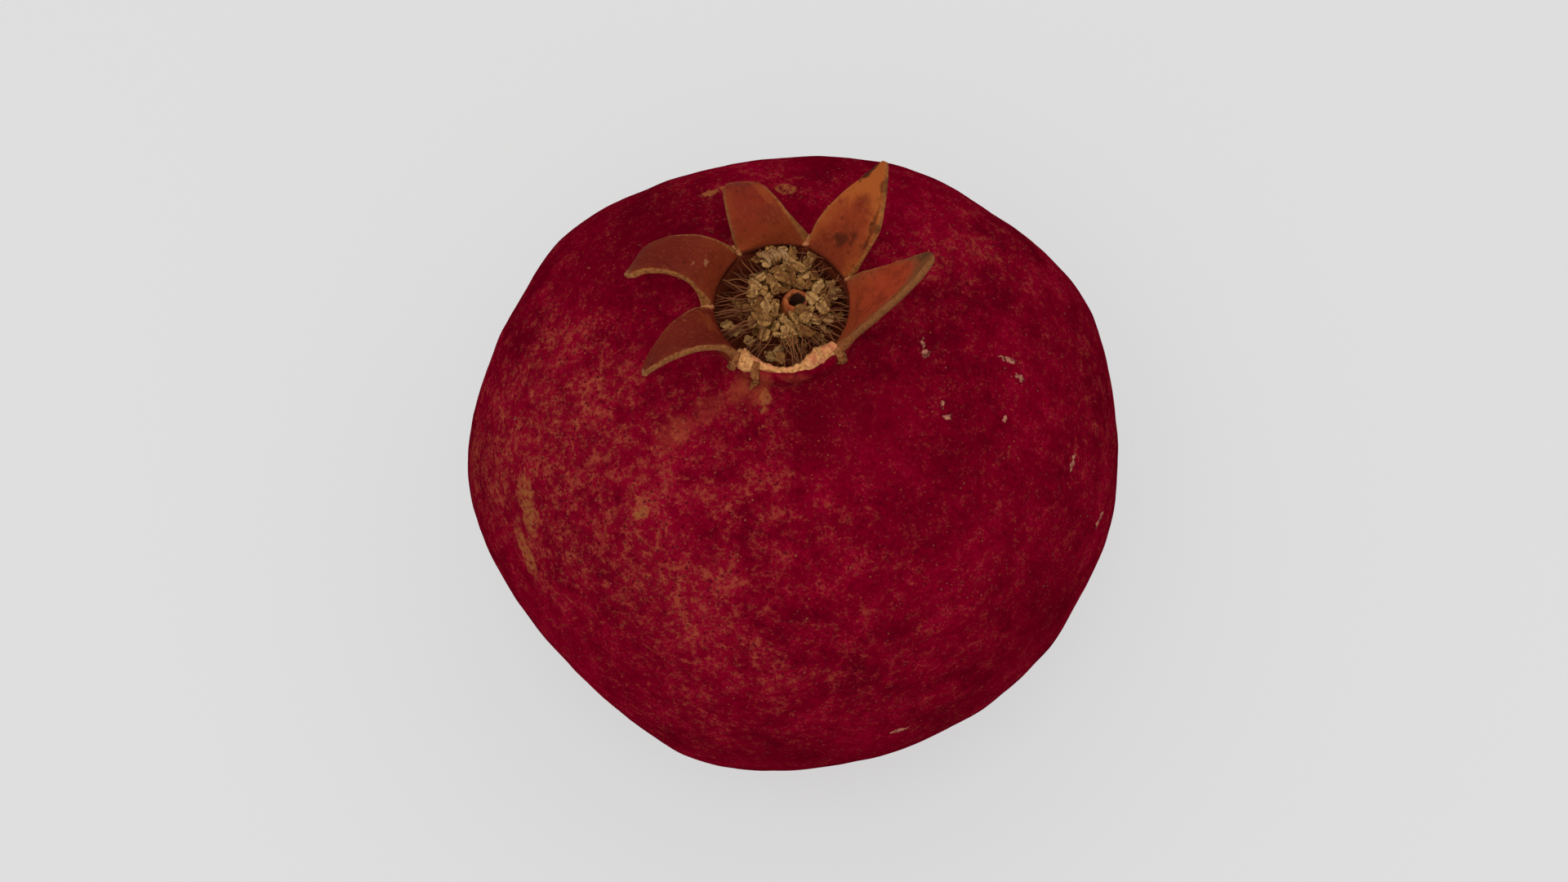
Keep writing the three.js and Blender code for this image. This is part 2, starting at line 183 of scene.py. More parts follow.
# %% [markdown]
# ## Outline of the fruit
# A pomegranate is round about its stem, so half of its section says nearly all. The outline runs
# from the hollow of the stem, over the base and the waist to the shoulder, up the neck, over the
# rim and down into the cup of the crown. The two big stretches are quarters of a full oval, a
# little squarer than an ellipse, and the small ones are short curves.

# %% Outline


def body_point(turn, fullness, inner, start_z, end_z):
    reach = inner + (BODY_RADIUS - inner) * math.cos(turn) ** (2 / fullness)
    return reach, start_z + (end_z - start_z) * math.sin(turn) ** (2 / fullness)


def bend(start, control, end, steps):
    """A short curve that leaves start and reaches end in the directions of control."""
    shares = [i / steps for i in range(steps + 1)]
    return [tuple((1 - t) ** 2 * a + 2 * t * (1 - t) * b + t * t * c
                  for a, b, c in zip(start, control, end)) for t in shares]


ARC_STEPS = 48
quarter = [math.pi / 2 * i / ARC_STEPS for i in range(ARC_STEPS + 1)]
lower_arc = [body_point(t, LOWER_FULLNESS, BASE_RADIUS, WAIST_Z, 0) for t in reversed(quarter)]
upper_arc = [body_point(t, UPPER_FULLNESS, TUBE_OUTER, WAIST_Z, SHOULDER_Z) for t in quarter[1:]]
upper_arc = [p for p in upper_arc if p[0] > TUBE_OUTER + NECK_FILLET]
body_outline = lower_arc + upper_arc
dimple = [(0, DIMPLE_DEPTH)] + bend((DIMPLE_RADIUS * 0.7, DIMPLE_DEPTH),
                                    (DIMPLE_RADIUS * 0.95, DIMPLE_DEPTH), (DIMPLE_RADIUS, 0), 8)
neck = bend(upper_arc[-1], (TUBE_OUTER + 0.3, SHOULDER_Z),
            (TUBE_OUTER, SHOULDER_Z + NECK_HEIGHT * 0.55), 12)[1:]
rim = bend((TUBE_OUTER, RIM_Z - 1.2), (TUBE_OUTER, RIM_Z), (CROWN_RADIUS, RIM_Z), 6)
rim += bend((CROWN_RADIUS, RIM_Z), (TUBE_INNER, RIM_Z), (TUBE_INNER, RIM_Z - 1.0), 6)[1:]
cup = bend((TUBE_INNER, CUP_FLOOR_Z + 1.6), (TUBE_INNER, CUP_FLOOR_Z),
           (TUBE_INNER - 1.6, CUP_FLOOR_Z), 6) + [(0, CUP_FLOOR_Z)]
outline = dimple + body_outline + neck + rim + cup
lengths = np.cumsum([0] + [math.dist(a, b) for a, b in zip(outline, outline[1:])])


def outline_share(index):
    """How far along the outline, from 0 to 1, one of its points lies."""
    return float(lengths[index] / lengths[-1])


DIMPLE_SHARE = outline_share(len(dimple) - 1)
NECK_SHARE = outline_share(len(dimple) + len(body_outline))
RIM_SHARE = outline_share(len(dimple) + len(body_outline) + len(neck) + 6)
print(f"outline {lengths[-1]:.0f} mm long, neck from {NECK_SHARE:.3f}, rim at {RIM_SHARE:.3f}")

# %% [markdown]
# ## The rind as a rule
# The rind follows a rule, so Geometry Nodes make it: a flat grid is rolled round the outline
# like a lathe, then each flat pushes the skin back to a soft plane. One node group presses one
# flat and is used once for each. Pressing softly, with a rounded corner, keeps the look of skin
# over seeds: a cut would look carved.

# %% One pressed flat


def new_group(name, inputs, kind="GeometryNodeTree"):
    """An empty node group with named inputs, its input node and its output node."""
    tree = bpy.data.node_groups.new(name, kind)
    for label, socket in inputs:
        tree.interface.new_socket(label, in_out="INPUT", socket_type=socket)
    tree.interface.new_socket("Geometry", in_out="OUTPUT", socket_type="NodeSocketGeometry")
    return tree, tree.nodes.new("NodeGroupInput"), tree.nodes.new("NodeGroupOutput")


def moved(tree, geometry, offset):
    return add(tree, "GeometryNodeSetPosition", {"Geometry": geometry, "Offset": offset})


def press_flat_group():
    tree, given, result = new_group("press_flat", [
        ("Geometry", "NodeSocketGeometry"), ("Normal", "NodeSocketVector"),
        ("Reach", "NodeSocketFloat"), ("Softness", "NodeSocketFloat"),
    ])
    values = {s.name: Value(tree, s) for s in given.outputs}
    position = add(tree, "GeometryNodeInputPosition")
    middle = position.vector("SUBTRACT", (0, 0, FLATS_Z * MM))
    beyond = middle.along(values["Normal"]) - values["Reach"]
    pressed = beyond.math("SMOOTH_MAX", 0.0, values["Softness"])
    fade = position.from_axis().ramp(BASE_RADIUS * MM, (BASE_RADIUS + 8) * MM)
    push = values["Normal"].scaled(pressed * fade * -1.0)
    tree.links.new(moved(tree, values["Geometry"], push).socket, result.inputs[0])
    return tree


press_flat = press_flat_group()
print("one flat takes", len(press_flat.nodes), "nodes")

# %% The whole rind tree
AROUND, ALONG = 360, 230
CROWN_STEPS = 0.4      # share of the steps that the neck, rim and cup take
SEAM = 1e-6            # metres
SWELLS = [(75.0, 1.0), (260.0, 0.22)]      # noise scale and height of the lumps and the dents


def body_reach(elevation):
    return max(r * math.cos(elevation) + (z - FLATS_Z) * math.sin(elevation)
               for r, z in body_outline)


def direction(azimuth, elevation=0.0):
    azimuth, elevation = math.radians(azimuth), math.radians(elevation)
    return Vector((math.cos(elevation) * math.cos(azimuth),
                   math.cos(elevation) * math.sin(azimuth), math.sin(elevation)))


def rind_tree():
    tree, given, result = new_group("rolled_rind", [
        ("Geometry", "NodeSocketGeometry"), ("Outline", "NodeSocketObject"),
        ("Steps around", "NodeSocketInt"), ("Steps along", "NodeSocketInt"),
        ("Unevenness", "NodeSocketFloat"), ("Material", "NodeSocketMaterial"),
    ])
    values = {s.name: Value(tree, s) for s in given.outputs}
    grid = add(tree, "GeometryNodeMeshGrid", {
        "Size X": 1.0, "Size Y": 1.0,
        "Vertices X": values["Steps around"], "Vertices Y": values["Steps along"],
    })
    position = add(tree, "GeometryNodeInputPosition")
    around, along = position.part(0) + 0.5, position.part(1) + 0.5
    # more steps for the small curves of the crown than for the big round of the body
    body_rate = NECK_SHARE / (1 - CROWN_STEPS)
    crown_rate = (1 - NECK_SHARE) / CROWN_STEPS
    share = (along * body_rate).math("MINIMUM", (along - 1.0) * crown_rate + 1.0)
    both = add(tree, "ShaderNodeCombineXYZ", {0: around, 1: share})
    marked = add(tree, "GeometryNodeStoreNamedAttribute", {
        "Geometry": grid, "Name": "UVMap", "Value": both,
    }, data_type="FLOAT2", domain="CORNER")
    outline_curve = add(tree, "GeometryNodeObjectInfo", {"Object": values["Outline"]}, 4)
    point = add(tree, "GeometryNodeSampleCurve", {"Curves": outline_curve, "Factor": share}, 1)
    radius, height = point.part(0), point.part(2)
    turn = around * (2 * math.pi)
    rolled = add(tree, "ShaderNodeCombineXYZ", {
        0: radius * turn.math("COSINE"), 1: radius * turn.math("SINE"), 2: height,
    })
    skin = add(tree, "GeometryNodeSetPosition", {"Geometry": marked, "Position": rolled})
    # the seam and both poles close before anything is pushed along the normals
    skin = add(tree, "GeometryNodeMergeByDistance", {"Geometry": skin, "Distance": SEAM})
    for azimuth, elevation, depth in FLATS:
        skin = add(tree, "GeometryNodeGroup", {
            "Geometry": skin, "Normal": direction(azimuth, elevation),
            "Reach": (body_reach(math.radians(elevation)) - depth) * MM,
            "Softness": FLAT_SOFTNESS * MM,
        }, node_tree=press_flat)
    # the crown slides over with the skin round it
    level = position.from_axis()
    near_crown = level.ramp((TUBE_OUTER + NECK_FILLET) * MM, BODY_RADIUS * 0.7 * MM).flipped()
    above = position.part(2).math("GREATER_THAN", WAIST_Z * MM)
    slide = add(tree, "ShaderNodeCombineXYZ", {0: near_crown * above * (CROWN_X * MM)})
    skin = moved(tree, skin, slide)
    # gentle unevenness of the grown skin, none on the ring that it stands on or at the crown
    lumps, dents = ((add(tree, "ShaderNodeTexNoise", {
        "Vector": position, "Scale": scale, "Detail": 2.0}) - 0.5) * height
        for scale, height in SWELLS)
    free = level.ramp(BASE_RADIUS * MM, (BASE_RADIUS + 6) * MM)
    normal = add(tree, "GeometryNodeInputNormal")
    swell = normal.scaled((lumps + dents) * free * values["Unevenness"])
    skin = moved(tree, skin, swell)
    skin = add(tree, "GeometryNodeSetShadeSmooth", {"Geometry": skin})
    skin = add(tree, "GeometryNodeSetMaterial", {"Geometry": skin, "Material": values["Material"]})
    tree.links.new(skin.socket, result.inputs[0])
    return tree


rolled_rind = rind_tree()
print("the rind takes", len(rolled_rind.nodes), "nodes")

# %% [markdown]
# A tree is put on an object as a modifier, its inputs are filled, and the evaluated result is
# copied out as a plain mesh. The helper below does this for every tree in this file. After it
# the modifier and its object are gone, and only the mesh stays.

# %% From a tree to a mesh


def set_inputs(modifier, **inputs):
    """Fills a tree's inputs, found by their names, through their sockets' identifiers."""
    for item in modifier.node_group.interface.items_tree:
        if item.in_out == "INPUT" and item.name in inputs:
            modifier[item.identifier] = inputs[item.name]


def plain_piece(name, source, tree, **inputs):
    """Runs a tree on an object and keeps the result as a mesh object of that name."""
    modifier = source.modifiers.new("shape", "NODES")
    modifier.node_group = tree
    set_inputs(modifier, **inputs)
    source.update_tag()
    graph = bpy.context.evaluated_depsgraph_get()
    mesh = bpy.data.meshes.new_from_object(source.evaluated_get(graph), depsgraph=graph)
    bpy.data.objects.remove(source)
    mesh.name = name
    mesh.materials.clear()
    mesh.materials.append(inputs["Material"])
    mesh.polygons.foreach_set("material_index", [0] * len(mesh.polygons))
    return linked(name, mesh)


def linked(name, data):
    """A new object in the scene."""
    thing = bpy.data.objects.new(name, data)
    bpy.context.scene.collection.objects.link(thing)
    return thing


def poly_curve(name, points):
    """A curve object through points in millimetres."""
    data = bpy.data.curves.new(name, "CURVE")
    data.dimensions = "3D"
    spline = data.splines.new("POLY")
    spline.points.add(len(points) - 1)
    for place, point in zip(spline.points, points):
        place.co = (*(c * MM for c in point), 1.0)
    return linked(name, data)


def store(mesh, name, values):
    """Keeps one number for each point of a mesh."""
    layer = mesh.attributes.new(name, "FLOAT", "POINT")
    layer.data.foreach_set("value", np.asarray(values, np.float32))


def mesh_piece(name, vertices, faces, material, uvs=None):
    """A mesh object from vertices in millimetres, smooth, with an optional place on the UV map."""
    mesh = bpy.data.meshes.new(name)
    mesh.from_pydata([tuple(v * MM for v in p) for p in vertices], [], faces)
    mesh.polygons.foreach_set("use_smooth", [True] * len(faces))
    if uvs is not None:
        layer = mesh.uv_layers.new(name="UVMap")
        corners = np.empty(len(mesh.loops), int)
        mesh.loops.foreach_get("vertex_index", corners)
        layer.data.foreach_set("uv", np.asarray(uvs, float)[corners].ravel())
    mesh.materials.append(material)
    mesh.update()
    return linked(name, mesh)


print("pieces are made in millimetres and stored in metres: 1 mm is", MM)


# %% [markdown]
# ## Materials: a start that all of them share
# Every finish is a Principled surface whose colour, roughness and bump come from noise on the
# piece's own coordinates, in metres, so a speck has a real size and stays where it is when the
# camera moves.

# %% Material helpers


def new_material(name):
    """An empty Principled material and its Object coordinates."""
    material = bpy.data.materials.new(name)
    material.use_nodes = True
    tree = material.node_tree
    tree.nodes.clear()
    out = tree.nodes.new("ShaderNodeOutputMaterial")
    shader = tree.nodes.new("ShaderNodeBsdfPrincipled")
    tree.links.new(shader.outputs[0], out.inputs["Surface"])
    return material, tree, shader, add(tree, "ShaderNodeTexCoord", output=3)


def noise(tree, place, size, detail=2.0, rough=0.5):
    """Soft clouds about size millimetres across, from 0 to 1."""
    inputs = {"Vector": place, "Scale": 1 / (size * MM), "Detail": detail, "Roughness": rough}
    return add(tree, "ShaderNodeTexNoise", inputs)


def noise_vector(tree, place, size, reach):
    """A wandering offset of up to about reach millimetres, for uneven edges."""
    inputs = {"Vector": place, "Scale": 1 / (size * MM), "Detail": 3.0}
    cloud = add(tree, "ShaderNodeTexNoise", inputs, 1)
    return cloud.vector("SUBTRACT", (0.5, 0.5, 0.5)).vector("MULTIPLY", (reach * MM,) * 3)


def wandering(tree, place, size, reach):
    """The place with such an offset added, so that what is drawn there has uneven edges."""
    return place.vector("ADD", noise_vector(tree, place, size, reach))


def cells(tree, place, size, feature="F1", output=0, **more):
    """Distance to scattered points about size millimetres apart; output 1 is a random colour."""
    inputs = {"Vector": place, "Scale": 1 / (size * MM), **more}
    return add(tree, "ShaderNodeTexVoronoi", inputs, output, feature=feature)


def attribute(tree, name):
    """A number that is stored on the mesh."""
    return add(tree, "ShaderNodeAttribute", output=2, attribute_name=name)


def finish(tree, shader, skin, roughness, shine, height, depth):
    """Fills a shader: colour, roughness, an even shine and a bump depth millimetres deep."""
    plug(tree, shader.inputs["Base Color"], skin)
    plug(tree, shader.inputs["Roughness"], roughness)
    shader.inputs["Specular IOR Level"].default_value = shine
    bump = {"Height": height, "Distance": depth * MM, "Strength": 1.0}
    plug(tree, shader.inputs["Normal"], add(tree, "ShaderNodeBump", bump))


print("a noise one millimetre across has the scale", round(1 / MM))


# %% [markdown]
# ## Skin
# The skin of a ripe pomegranate is crimson with darker clouds. Where the red is thin a net of
# tan shows between small dark dots. Where it is thin is a matter of how the fruit hung in the
# sun, so those patches are listed for the side that is seen and placed by chance on the rest.
# They are stored on the skin as an attribute, because they are large and soft. Pale pores and
# dark specks are strewn all over, and a few scars have healed to cork.

# %% Where the red is thin
# Middle (millimetres, seen from above: x, y, z), reach and strength
THIN_PATCHES = [
    # wide and faint
    (-32, -12, 68, 12, 0.38), (-20, -20, 76, 12, 0.5), (-11, -32, 71, 11, 0.5),
    (-28, 0, 76, 9, 0.4), (-4, -21, 81, 8, 0.35), (-21, -8, 80, 8, 0.4),
    (-3, -9, 84, 6, 0.25), (-26, -28, 66, 9, 0.35),
    (3, -38, 66, 10, 0.3), (10, -28, 75, 8, 0.18), (20, 10, 81, 7, 0.4), (-12, -42, 54, 9, 0.35),
    (-6, 18, 80, 7, 0.35), (30, 22, 72, 10, 0.3), (22, -28, 70, 9, 0.2),
    # small and strong
    (-8, -11, 83, 3, 0.3), (-3.5, -11, 83, 2.5, 0.35),
    (-33, -20, 66, 3, 0.5), (-27, -10, 77, 4, 0.25), (-22, -7, 80, 3, 0.3), (-18, -22, 77, 3, 0.6),
    (-14, -13, 81, 3, 0.5), (-13, -31, 72, 3.5, 0.45), (-8, -29, 76, 3, 0.35),
    (-7, -36, 69, 3, 0.5), (-13, -35, 68, 3, 0.4), (-2, -19, 81, 3.5, 0.35),
    (-1, -39, 66, 3, 0.4), (-5, -9.5, 84, 2, 0.35),
    (-29, 1, 76, 3, 0.3), (18, 9, 81, 3.5, 0.3), (-24, -26, 71, 3, 0.3), (5, -25, 78, 3, 0.3),
    (-9, 19, 80, 3, 0.45), (0, 19, 81, 2.5, 0.4), (-16, -27, 75, 3, 0.3), (25, 12, 78, 3, 0.3),
]
CHANCE_PATCHES = 34
# Where the red is deepest
DEEP_PATCHES = [
    (6, -12, 82, 6, 0.6), (1, -15, 82, 4, 0.4), (19, -15, 79, 8, 0.35), (-17, 13, 79, 9, 0.55),
    (-25, 8, 77, 6, 0.3), (34, -29, 55, 9, 0.6), (-3, -45, 42, 12, 0.5), (18, -43, 42, 10, 0.4),
    (22, 24, 73, 8, 0.35), (4, 24, 78, 5, 0.5), (-42, -9, 45, 12, 0.4), (30, 2, 75, 6, 0.25),
    (-33, 24, 55, 10, 0.5), (12, 40, 48, 12, 0.4), (43, 12, 45, 10, 0.4), (-10, -26, 77, 3, 0.3),
    (-11, -18, 80, 3, 0.35), (-21, -13, 79, 2.5, 0.3), (14, -24, 77, 5, 0.3),
]


def thin_patches():
    """The placed patches and others, by chance, on the back, the far side and below."""
    rng = random.Random(11)
    patches = list(THIN_PATCHES)
    while len(patches) < len(THIN_PATCHES) + CHANCE_PATCHES:
        away = direction(rng.uniform(-20, 200), rng.uniform(-60, 35)) * 44
        patches.append((away.x, away.y, 42 + away.z, rng.uniform(4, 13), rng.uniform(0.2, 0.5)))
    return patches


def mark_patches(mesh, name, patches):
    """Stores how far each point of the skin lies inside a list of soft patches."""
    points = np.array([v.co for v in mesh.vertices]) / MM
    amount = np.zeros(len(points))
    for x, y, z, reach, strength in patches:
        away = np.sum((points - (x, y, z)) ** 2, 1)
        amount += strength * np.exp(-away / (reach * reach))
    store(mesh, name, np.clip(amount, 0, 1.2))


print(len(THIN_PATCHES) + CHANCE_PATCHES, "thin patches,", len(DEEP_PATCHES), "deep ones")


# %% Marks on the skin
MARK_DEPTH = 3         # how far a mark reaches into the flesh


def mark(tree, place, x, y, z, wide, long, turn=0.0, core=0.35, strength=1.0):
    """A soft oval on the skin: strength inside its core, 0 outside; turn is its azimuth."""
    middle = place.vector("SUBTRACT", (x * MM, y * MM, z * MM))
    lengthwise = Vector((math.cos(math.radians(turn)), math.sin(math.radians(turn)), 0))
    away = Vector((x, y, z - FLATS_Z)).normalized()
    crosswise = away.cross(lengthwise).normalized()
    lengthwise = crosswise.cross(away)
    a = middle.along(tuple(lengthwise / (long * MM)))
    b = middle.along(tuple(crosswise / (wide * MM)))
    c = middle.along(tuple(away / (MARK_DEPTH * MM)))
    return (a * a + b * b + c * c).ramp(core, 1.0, strength, 0.0)


# x, y, z, half width, half length, azimuth of the long side
CORK_SCARS = [
    (15.7, -2.2, 81.5, 0.35, 0.8, 100), (16.1, -3.4, 81.4, 0.45, 0.7, 60),
    (26.2, -3.1, 78.5, 0.4, 1.5, -10), (27.8, -5.0, 77.3, 0.55, 1.0, -15),
    (17.9, -9.8, 80.6, 0.25, 0.6, 80), (18.3, -11.2, 80.3, 0.45, 0.75, -10),
    (25.6, -10.4, 77.5, 0.4, 0.5, 30), (35.0, -12.8, 69.0, 0.5, 1.6, 75),
    (40.1, -16.5, 57.5, 0.6, 1.8, 60), (-34.2, -7.6, 70.8, 0.3, 0.6, 20),
    (14.0, -42.4, 50.5, 0.6, 1.6, 10), (30.5, 21.0, 70.0, 0.4, 1.3, 120),
    (-22.0, 30.0, 62.0, 0.5, 1.4, 30), (-3.0, 39.5, 52.0, 0.5, 1.6, 10),
]
DARK_BRUISES = [(3.5, 22.2, 79.7, 2.0, 3.0, 0), (-33, 26, 52, 4, 6, 70)]
TAN_STREAKS = [(-32.3, -18.2, 68.2, 2.1, 4.6, 72), (-32.9, -22.5, 63.0, 1.6, 4.0, 80),
               (-3.2, -10.4, 83.6, 1.0, 1.8, 100), (-17.8, -21.8, 76.8, 1.0, 1.3, 30),
               (-9.3, 18.9, 80.4, 0.8, 2.4, 15), (-0.6, 19.0, 81.0, 0.8, 1.8, 5)]

# Where the skin below the torn edge has stayed pale and glows orange. The last two values are
# the core, below 0 where it fades from its very middle, and the strength
GLOWS = [(-5.0, -9.2, 83.8, 2.4, 3.4, 30, -0.1, 0.52), (-3.2, -9.3, 85.5, 1.6, 2.8, 90, -0.1, 0.5),
         (-9.5, -10.8, 82.6, 1.8, 3.6, 40, -0.1, 0.25),
         (-13.6, -13.4, 81.3, 2.0, 3.4, 40, -0.1, 0.3),
         (0.6, -8.9, 86.3, 1.0, 2.4, 0, -0.1, 0.3)]


def any_mark(tree, place, marks):
    """The strongest of several marks at each place."""
    total, *others = [mark(tree, place, *values) for values in marks]
    for other in others:
        total = total.math("MAXIMUM", other)
    return total


print(len(CORK_SCARS), "scars,", len(DARK_BRUISES), "bruises,", len(TAN_STREAKS), "streaks")

# %% Skin material
SKIN_DARK, SKIN_RED, SKIN_BRIGHT = colour(84, 0, 18), colour(110, 0, 25), colour(134, 4, 36)
SKIN_TAN, SKIN_BLUSH = colour(154, 74, 48), colour(134, 14, 36)
SKIN_PORE, SKIN_SPECK, SKIN_DEEP = colour(176, 96, 68), colour(52, 2, 12), colour(80, 0, 14)
SKIN_GLOW = colour(158, 74, 42)
CORK, CORK_EDGE = colour(172, 112, 90), colour(100, 40, 34)


def rind_material():
    material, tree, shader, place = new_material("pomegranate_skin")
    clouds = noise(tree, place, 11, 4.0, 0.6)
    patches = noise(tree, place, 3.2, 4.0, 0.7)
    fine = noise(tree, place, 0.7, 3.0, 0.65)
    grit = noise(tree, place, 0.3, 2.0, 0.6)
    tone = clouds * 0.36 + patches * 0.34 + fine * 0.22 + (grit - 0.5) * 0.22 + 0.04
    skin = mixed(tree, tone.ramp(0.38, 0.53), SKIN_DARK, SKIN_RED)
    skin = mixed(tree, tone.ramp(0.5, 0.64), skin, SKIN_BRIGHT)
    thin, deep_red = attribute(tree, "thin_red"), attribute(tree, "deep_red")
    deepened = (deep_red + (patches - 0.5) * 0.9).ramp(0.05, 0.75)
    skin = mixed(tree, deepened * 0.5, skin, SKIN_DEEP)
    # a blush under the flakes, the flakes themselves, and a net of them between dark dots
    warped = wandering(tree, place, 1.2, 0.35)
    blush = (thin + (patches - 0.5) * 2.2).ramp(0.2, 1.1)
    skin = mixed(tree, blush * 0.35, skin, SKIN_BLUSH)
    near_place = wandering(tree, place, 0.5, 0.22)
    flakes = noise(tree, warped, 1.15, 6.0, 0.82)
    speckle = (grit - 0.5) * 0.24
    flaked = (flakes + (patches - 0.5) * 0.4 + thin * 0.06 + speckle).ramp(0.52, 0.68)
    net = cells(tree, near_place, 0.82, Randomness=0.95).ramp(0.16, 0.58)
    shown = ((thin * 0.42 + 0.235) * fine.ramp(0.3, 0.65, 0.55, 1.15)).math("MINIMUM", 0.75)
    flaked = flaked * (net * 0.92 + 0.08) * shown * deep_red.ramp(0.1, 0.8, 1.0, 0.45)
    skin = mixed(tree, flaked, skin, SKIN_TAN)
    # pale pores and dark specks, finer than the net
    strewn = noise(tree, place, 4.0, 3.0, 0.6)
    pore = cells(tree, near_place, 1.1) + (fine - 0.5) * 0.3
    strewn = strewn.ramp(0.4, 0.6)
    skin = mixed(tree, pore.ramp(0.12, 0.3).flipped() * strewn * 0.3, skin, SKIN_SPECK)
    pores = pore.ramp(0.03, 0.15).flipped() * strewn
    skin = mixed(tree, pores * 0.5, skin, SKIN_PORE)
    dust = (cells(tree, near_place, 0.6) + (grit - 0.5) * 0.3).ramp(0.08, 0.26).flipped()
    dust = dust * patches.ramp(0.42, 0.62)
    skin = mixed(tree, dust * 0.4, skin, SKIN_TAN)
    specks = cells(tree, warped, 0.8).ramp(0.12, 0.3).flipped()
    speck_share = patches.ramp(0.38, 0.6) * 0.35 + thin.math("MINIMUM", 1.0) * 0.45
    skin = mixed(tree, specks * speck_share, skin, SKIN_SPECK)
    # bruises, streaks and healed scars
    bruise = any_mark(tree, wandering(tree, place, 3.0, 5.0), DARK_BRUISES)
    skin = mixed(tree, bruise * patches.ramp(0.35, 0.6) * 0.5, skin, colour(62, 3, 16))
    streak = any_mark(tree, wandering(tree, place, 1.5, 2.0), TAN_STREAKS)
    skin = mixed(tree, streak * fine.ramp(0.35, 0.6) * 0.75, skin, colour(146, 86, 46))
    glow = any_mark(tree, wandering(tree, place, 3.0, 3.0), GLOWS)
    glow = glow * (fine * 0.5 + patches * 0.5).ramp(0.35, 0.62, 0.3, 1.0)
    skin = mixed(tree, glow, skin, SKIN_GLOW)
    scar = any_mark(tree, wandering(tree, place, 0.7, 1.6), CORK_SCARS) * flakes.ramp(0.36, 0.5)
    skin = mixed(tree, scar.ramp(0.02, 0.4) * 0.6, skin, CORK_EDGE)
    skin = mixed(tree, scar.ramp(0.4, 0.8) * fine.ramp(0.38, 0.55, 0.35, 1.0), skin, CORK)
    # the crown: a tan line on the rim, and inside it a wall that is dark red-brown just below the
    # rim and orange-brown deeper down; the deeper part is painted brighter to make up for the shade
    # in the cup
    share = add(tree, "ShaderNodeTexCoord", output=2).part(1)
    inside = share.math("GREATER_THAN", RIM_SHARE)
    # painted light: the wall is made brighter the deeper it goes into the cup, to offset the shade
    # there
    deeper_painted_fill = (share + (fine - 0.5) * 0.006).ramp(RIM_SHARE + 0.003, RIM_SHARE + 0.03)
    wall = mixed(tree, deeper_painted_fill, colour(104, 44, 28), colour(156, 70, 42))
    shade = noise(tree, place, 0.6, 3.0).ramp(0.35, 0.65)
    wall = mixed(tree, shade * 0.5, wall, colour(96, 38, 26))
    skin = mixed(tree, inside, skin, wall)
    # cork round the hollow of the stem
    base = (share + (patches - 0.5) * 0.03).ramp(DIMPLE_SHARE - 0.006, DIMPLE_SHARE + 0.018)
    skin = mixed(tree, base.flipped() * fine.ramp(0.3, 0.6, 0.55, 0.92), skin, colour(118, 74, 48))
    rim_line = (share - RIM_SHARE - 0.002).math("ABSOLUTE").ramp(0.0008, 0.0022).flipped()
    skin = mixed(tree, rim_line, skin, colour(150, 96, 56))
    height = fine * 0.4 + patches * 0.3 - specks * 0.25 + pores * 0.2 + scar * 0.8 + flaked * 0.3
    finish(tree, shader, skin, patches.ramp(0.3, 0.7, 0.6, 0.78), 0.0, height, 0.14)
    return material


skin_material = rind_material()
print("the skin takes", len(skin_material.node_tree.nodes), "nodes")

# %% [markdown]
# ## The rind
# The outline becomes a curve, the tree rolls it, and the finished mesh takes the place of the
# plain CAD fruit. The crown is off the middle of the body, so the middle of the box is measured
# on the finished skin, as the CAD model does, and every piece is moved by the same amount.

# %% Making the rind
outline_object = poly_curve("rind_outline", [(r, 0, z) for r, z in outline])
blank = linked("rind_source", bpy.data.meshes.new("rind_source"))
rind = plain_piece("rind", blank, rolled_rind, **{
    "Outline": outline_object, "Steps around": AROUND, "Steps along": ALONG,
    "Unevenness": MM, "Material": skin_material,
})
bpy.data.objects.remove(outline_object)
corners = np.array([v.co for v in rind.data.vertices]) / MM
MIDDLE = (corners.min(0) + corners.max(0)) / 2
SHIFT = Vector((-MIDDLE[0], -MIDDLE[1], 0.0))
CROWN = Vector((CROWN_X, 0, 0)) + SHIFT
rind.data.transform(Matrix.Translation(SHIFT * MM))
mark_patches(rind.data, "thin_red", thin_patches())
mark_patches(rind.data, "deep_red", DEEP_PATCHES)
print("rind:", len(rind.data.polygons), "faces, moved by", [round(c, 2) for c in SHIFT])


def place_piece(piece, slot, *nodes):
    """Hands a finished piece over: it rides on the fruit and stands for its CAD nodes."""
    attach(piece, "root")
    if nodes:
        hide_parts(*nodes)


place_piece(rind, "rind", "fruit")

# %% [markdown]
# ## Sepals
# The crown has six lobes, thick leathery sepals, and five of them are whole. A sepal is a sheet
# that starts on the rim's circle, leans out and curls as it rises, may sweep to one side and
# twist, and tapers to its tip. The sheet is worked out point by point, then given an inner and
# an outer skin, a rounded thick margin and fine lengthwise ridges. Its foot reaches down over
# the wall of the tube, so that it grows out of the crown without a seam.

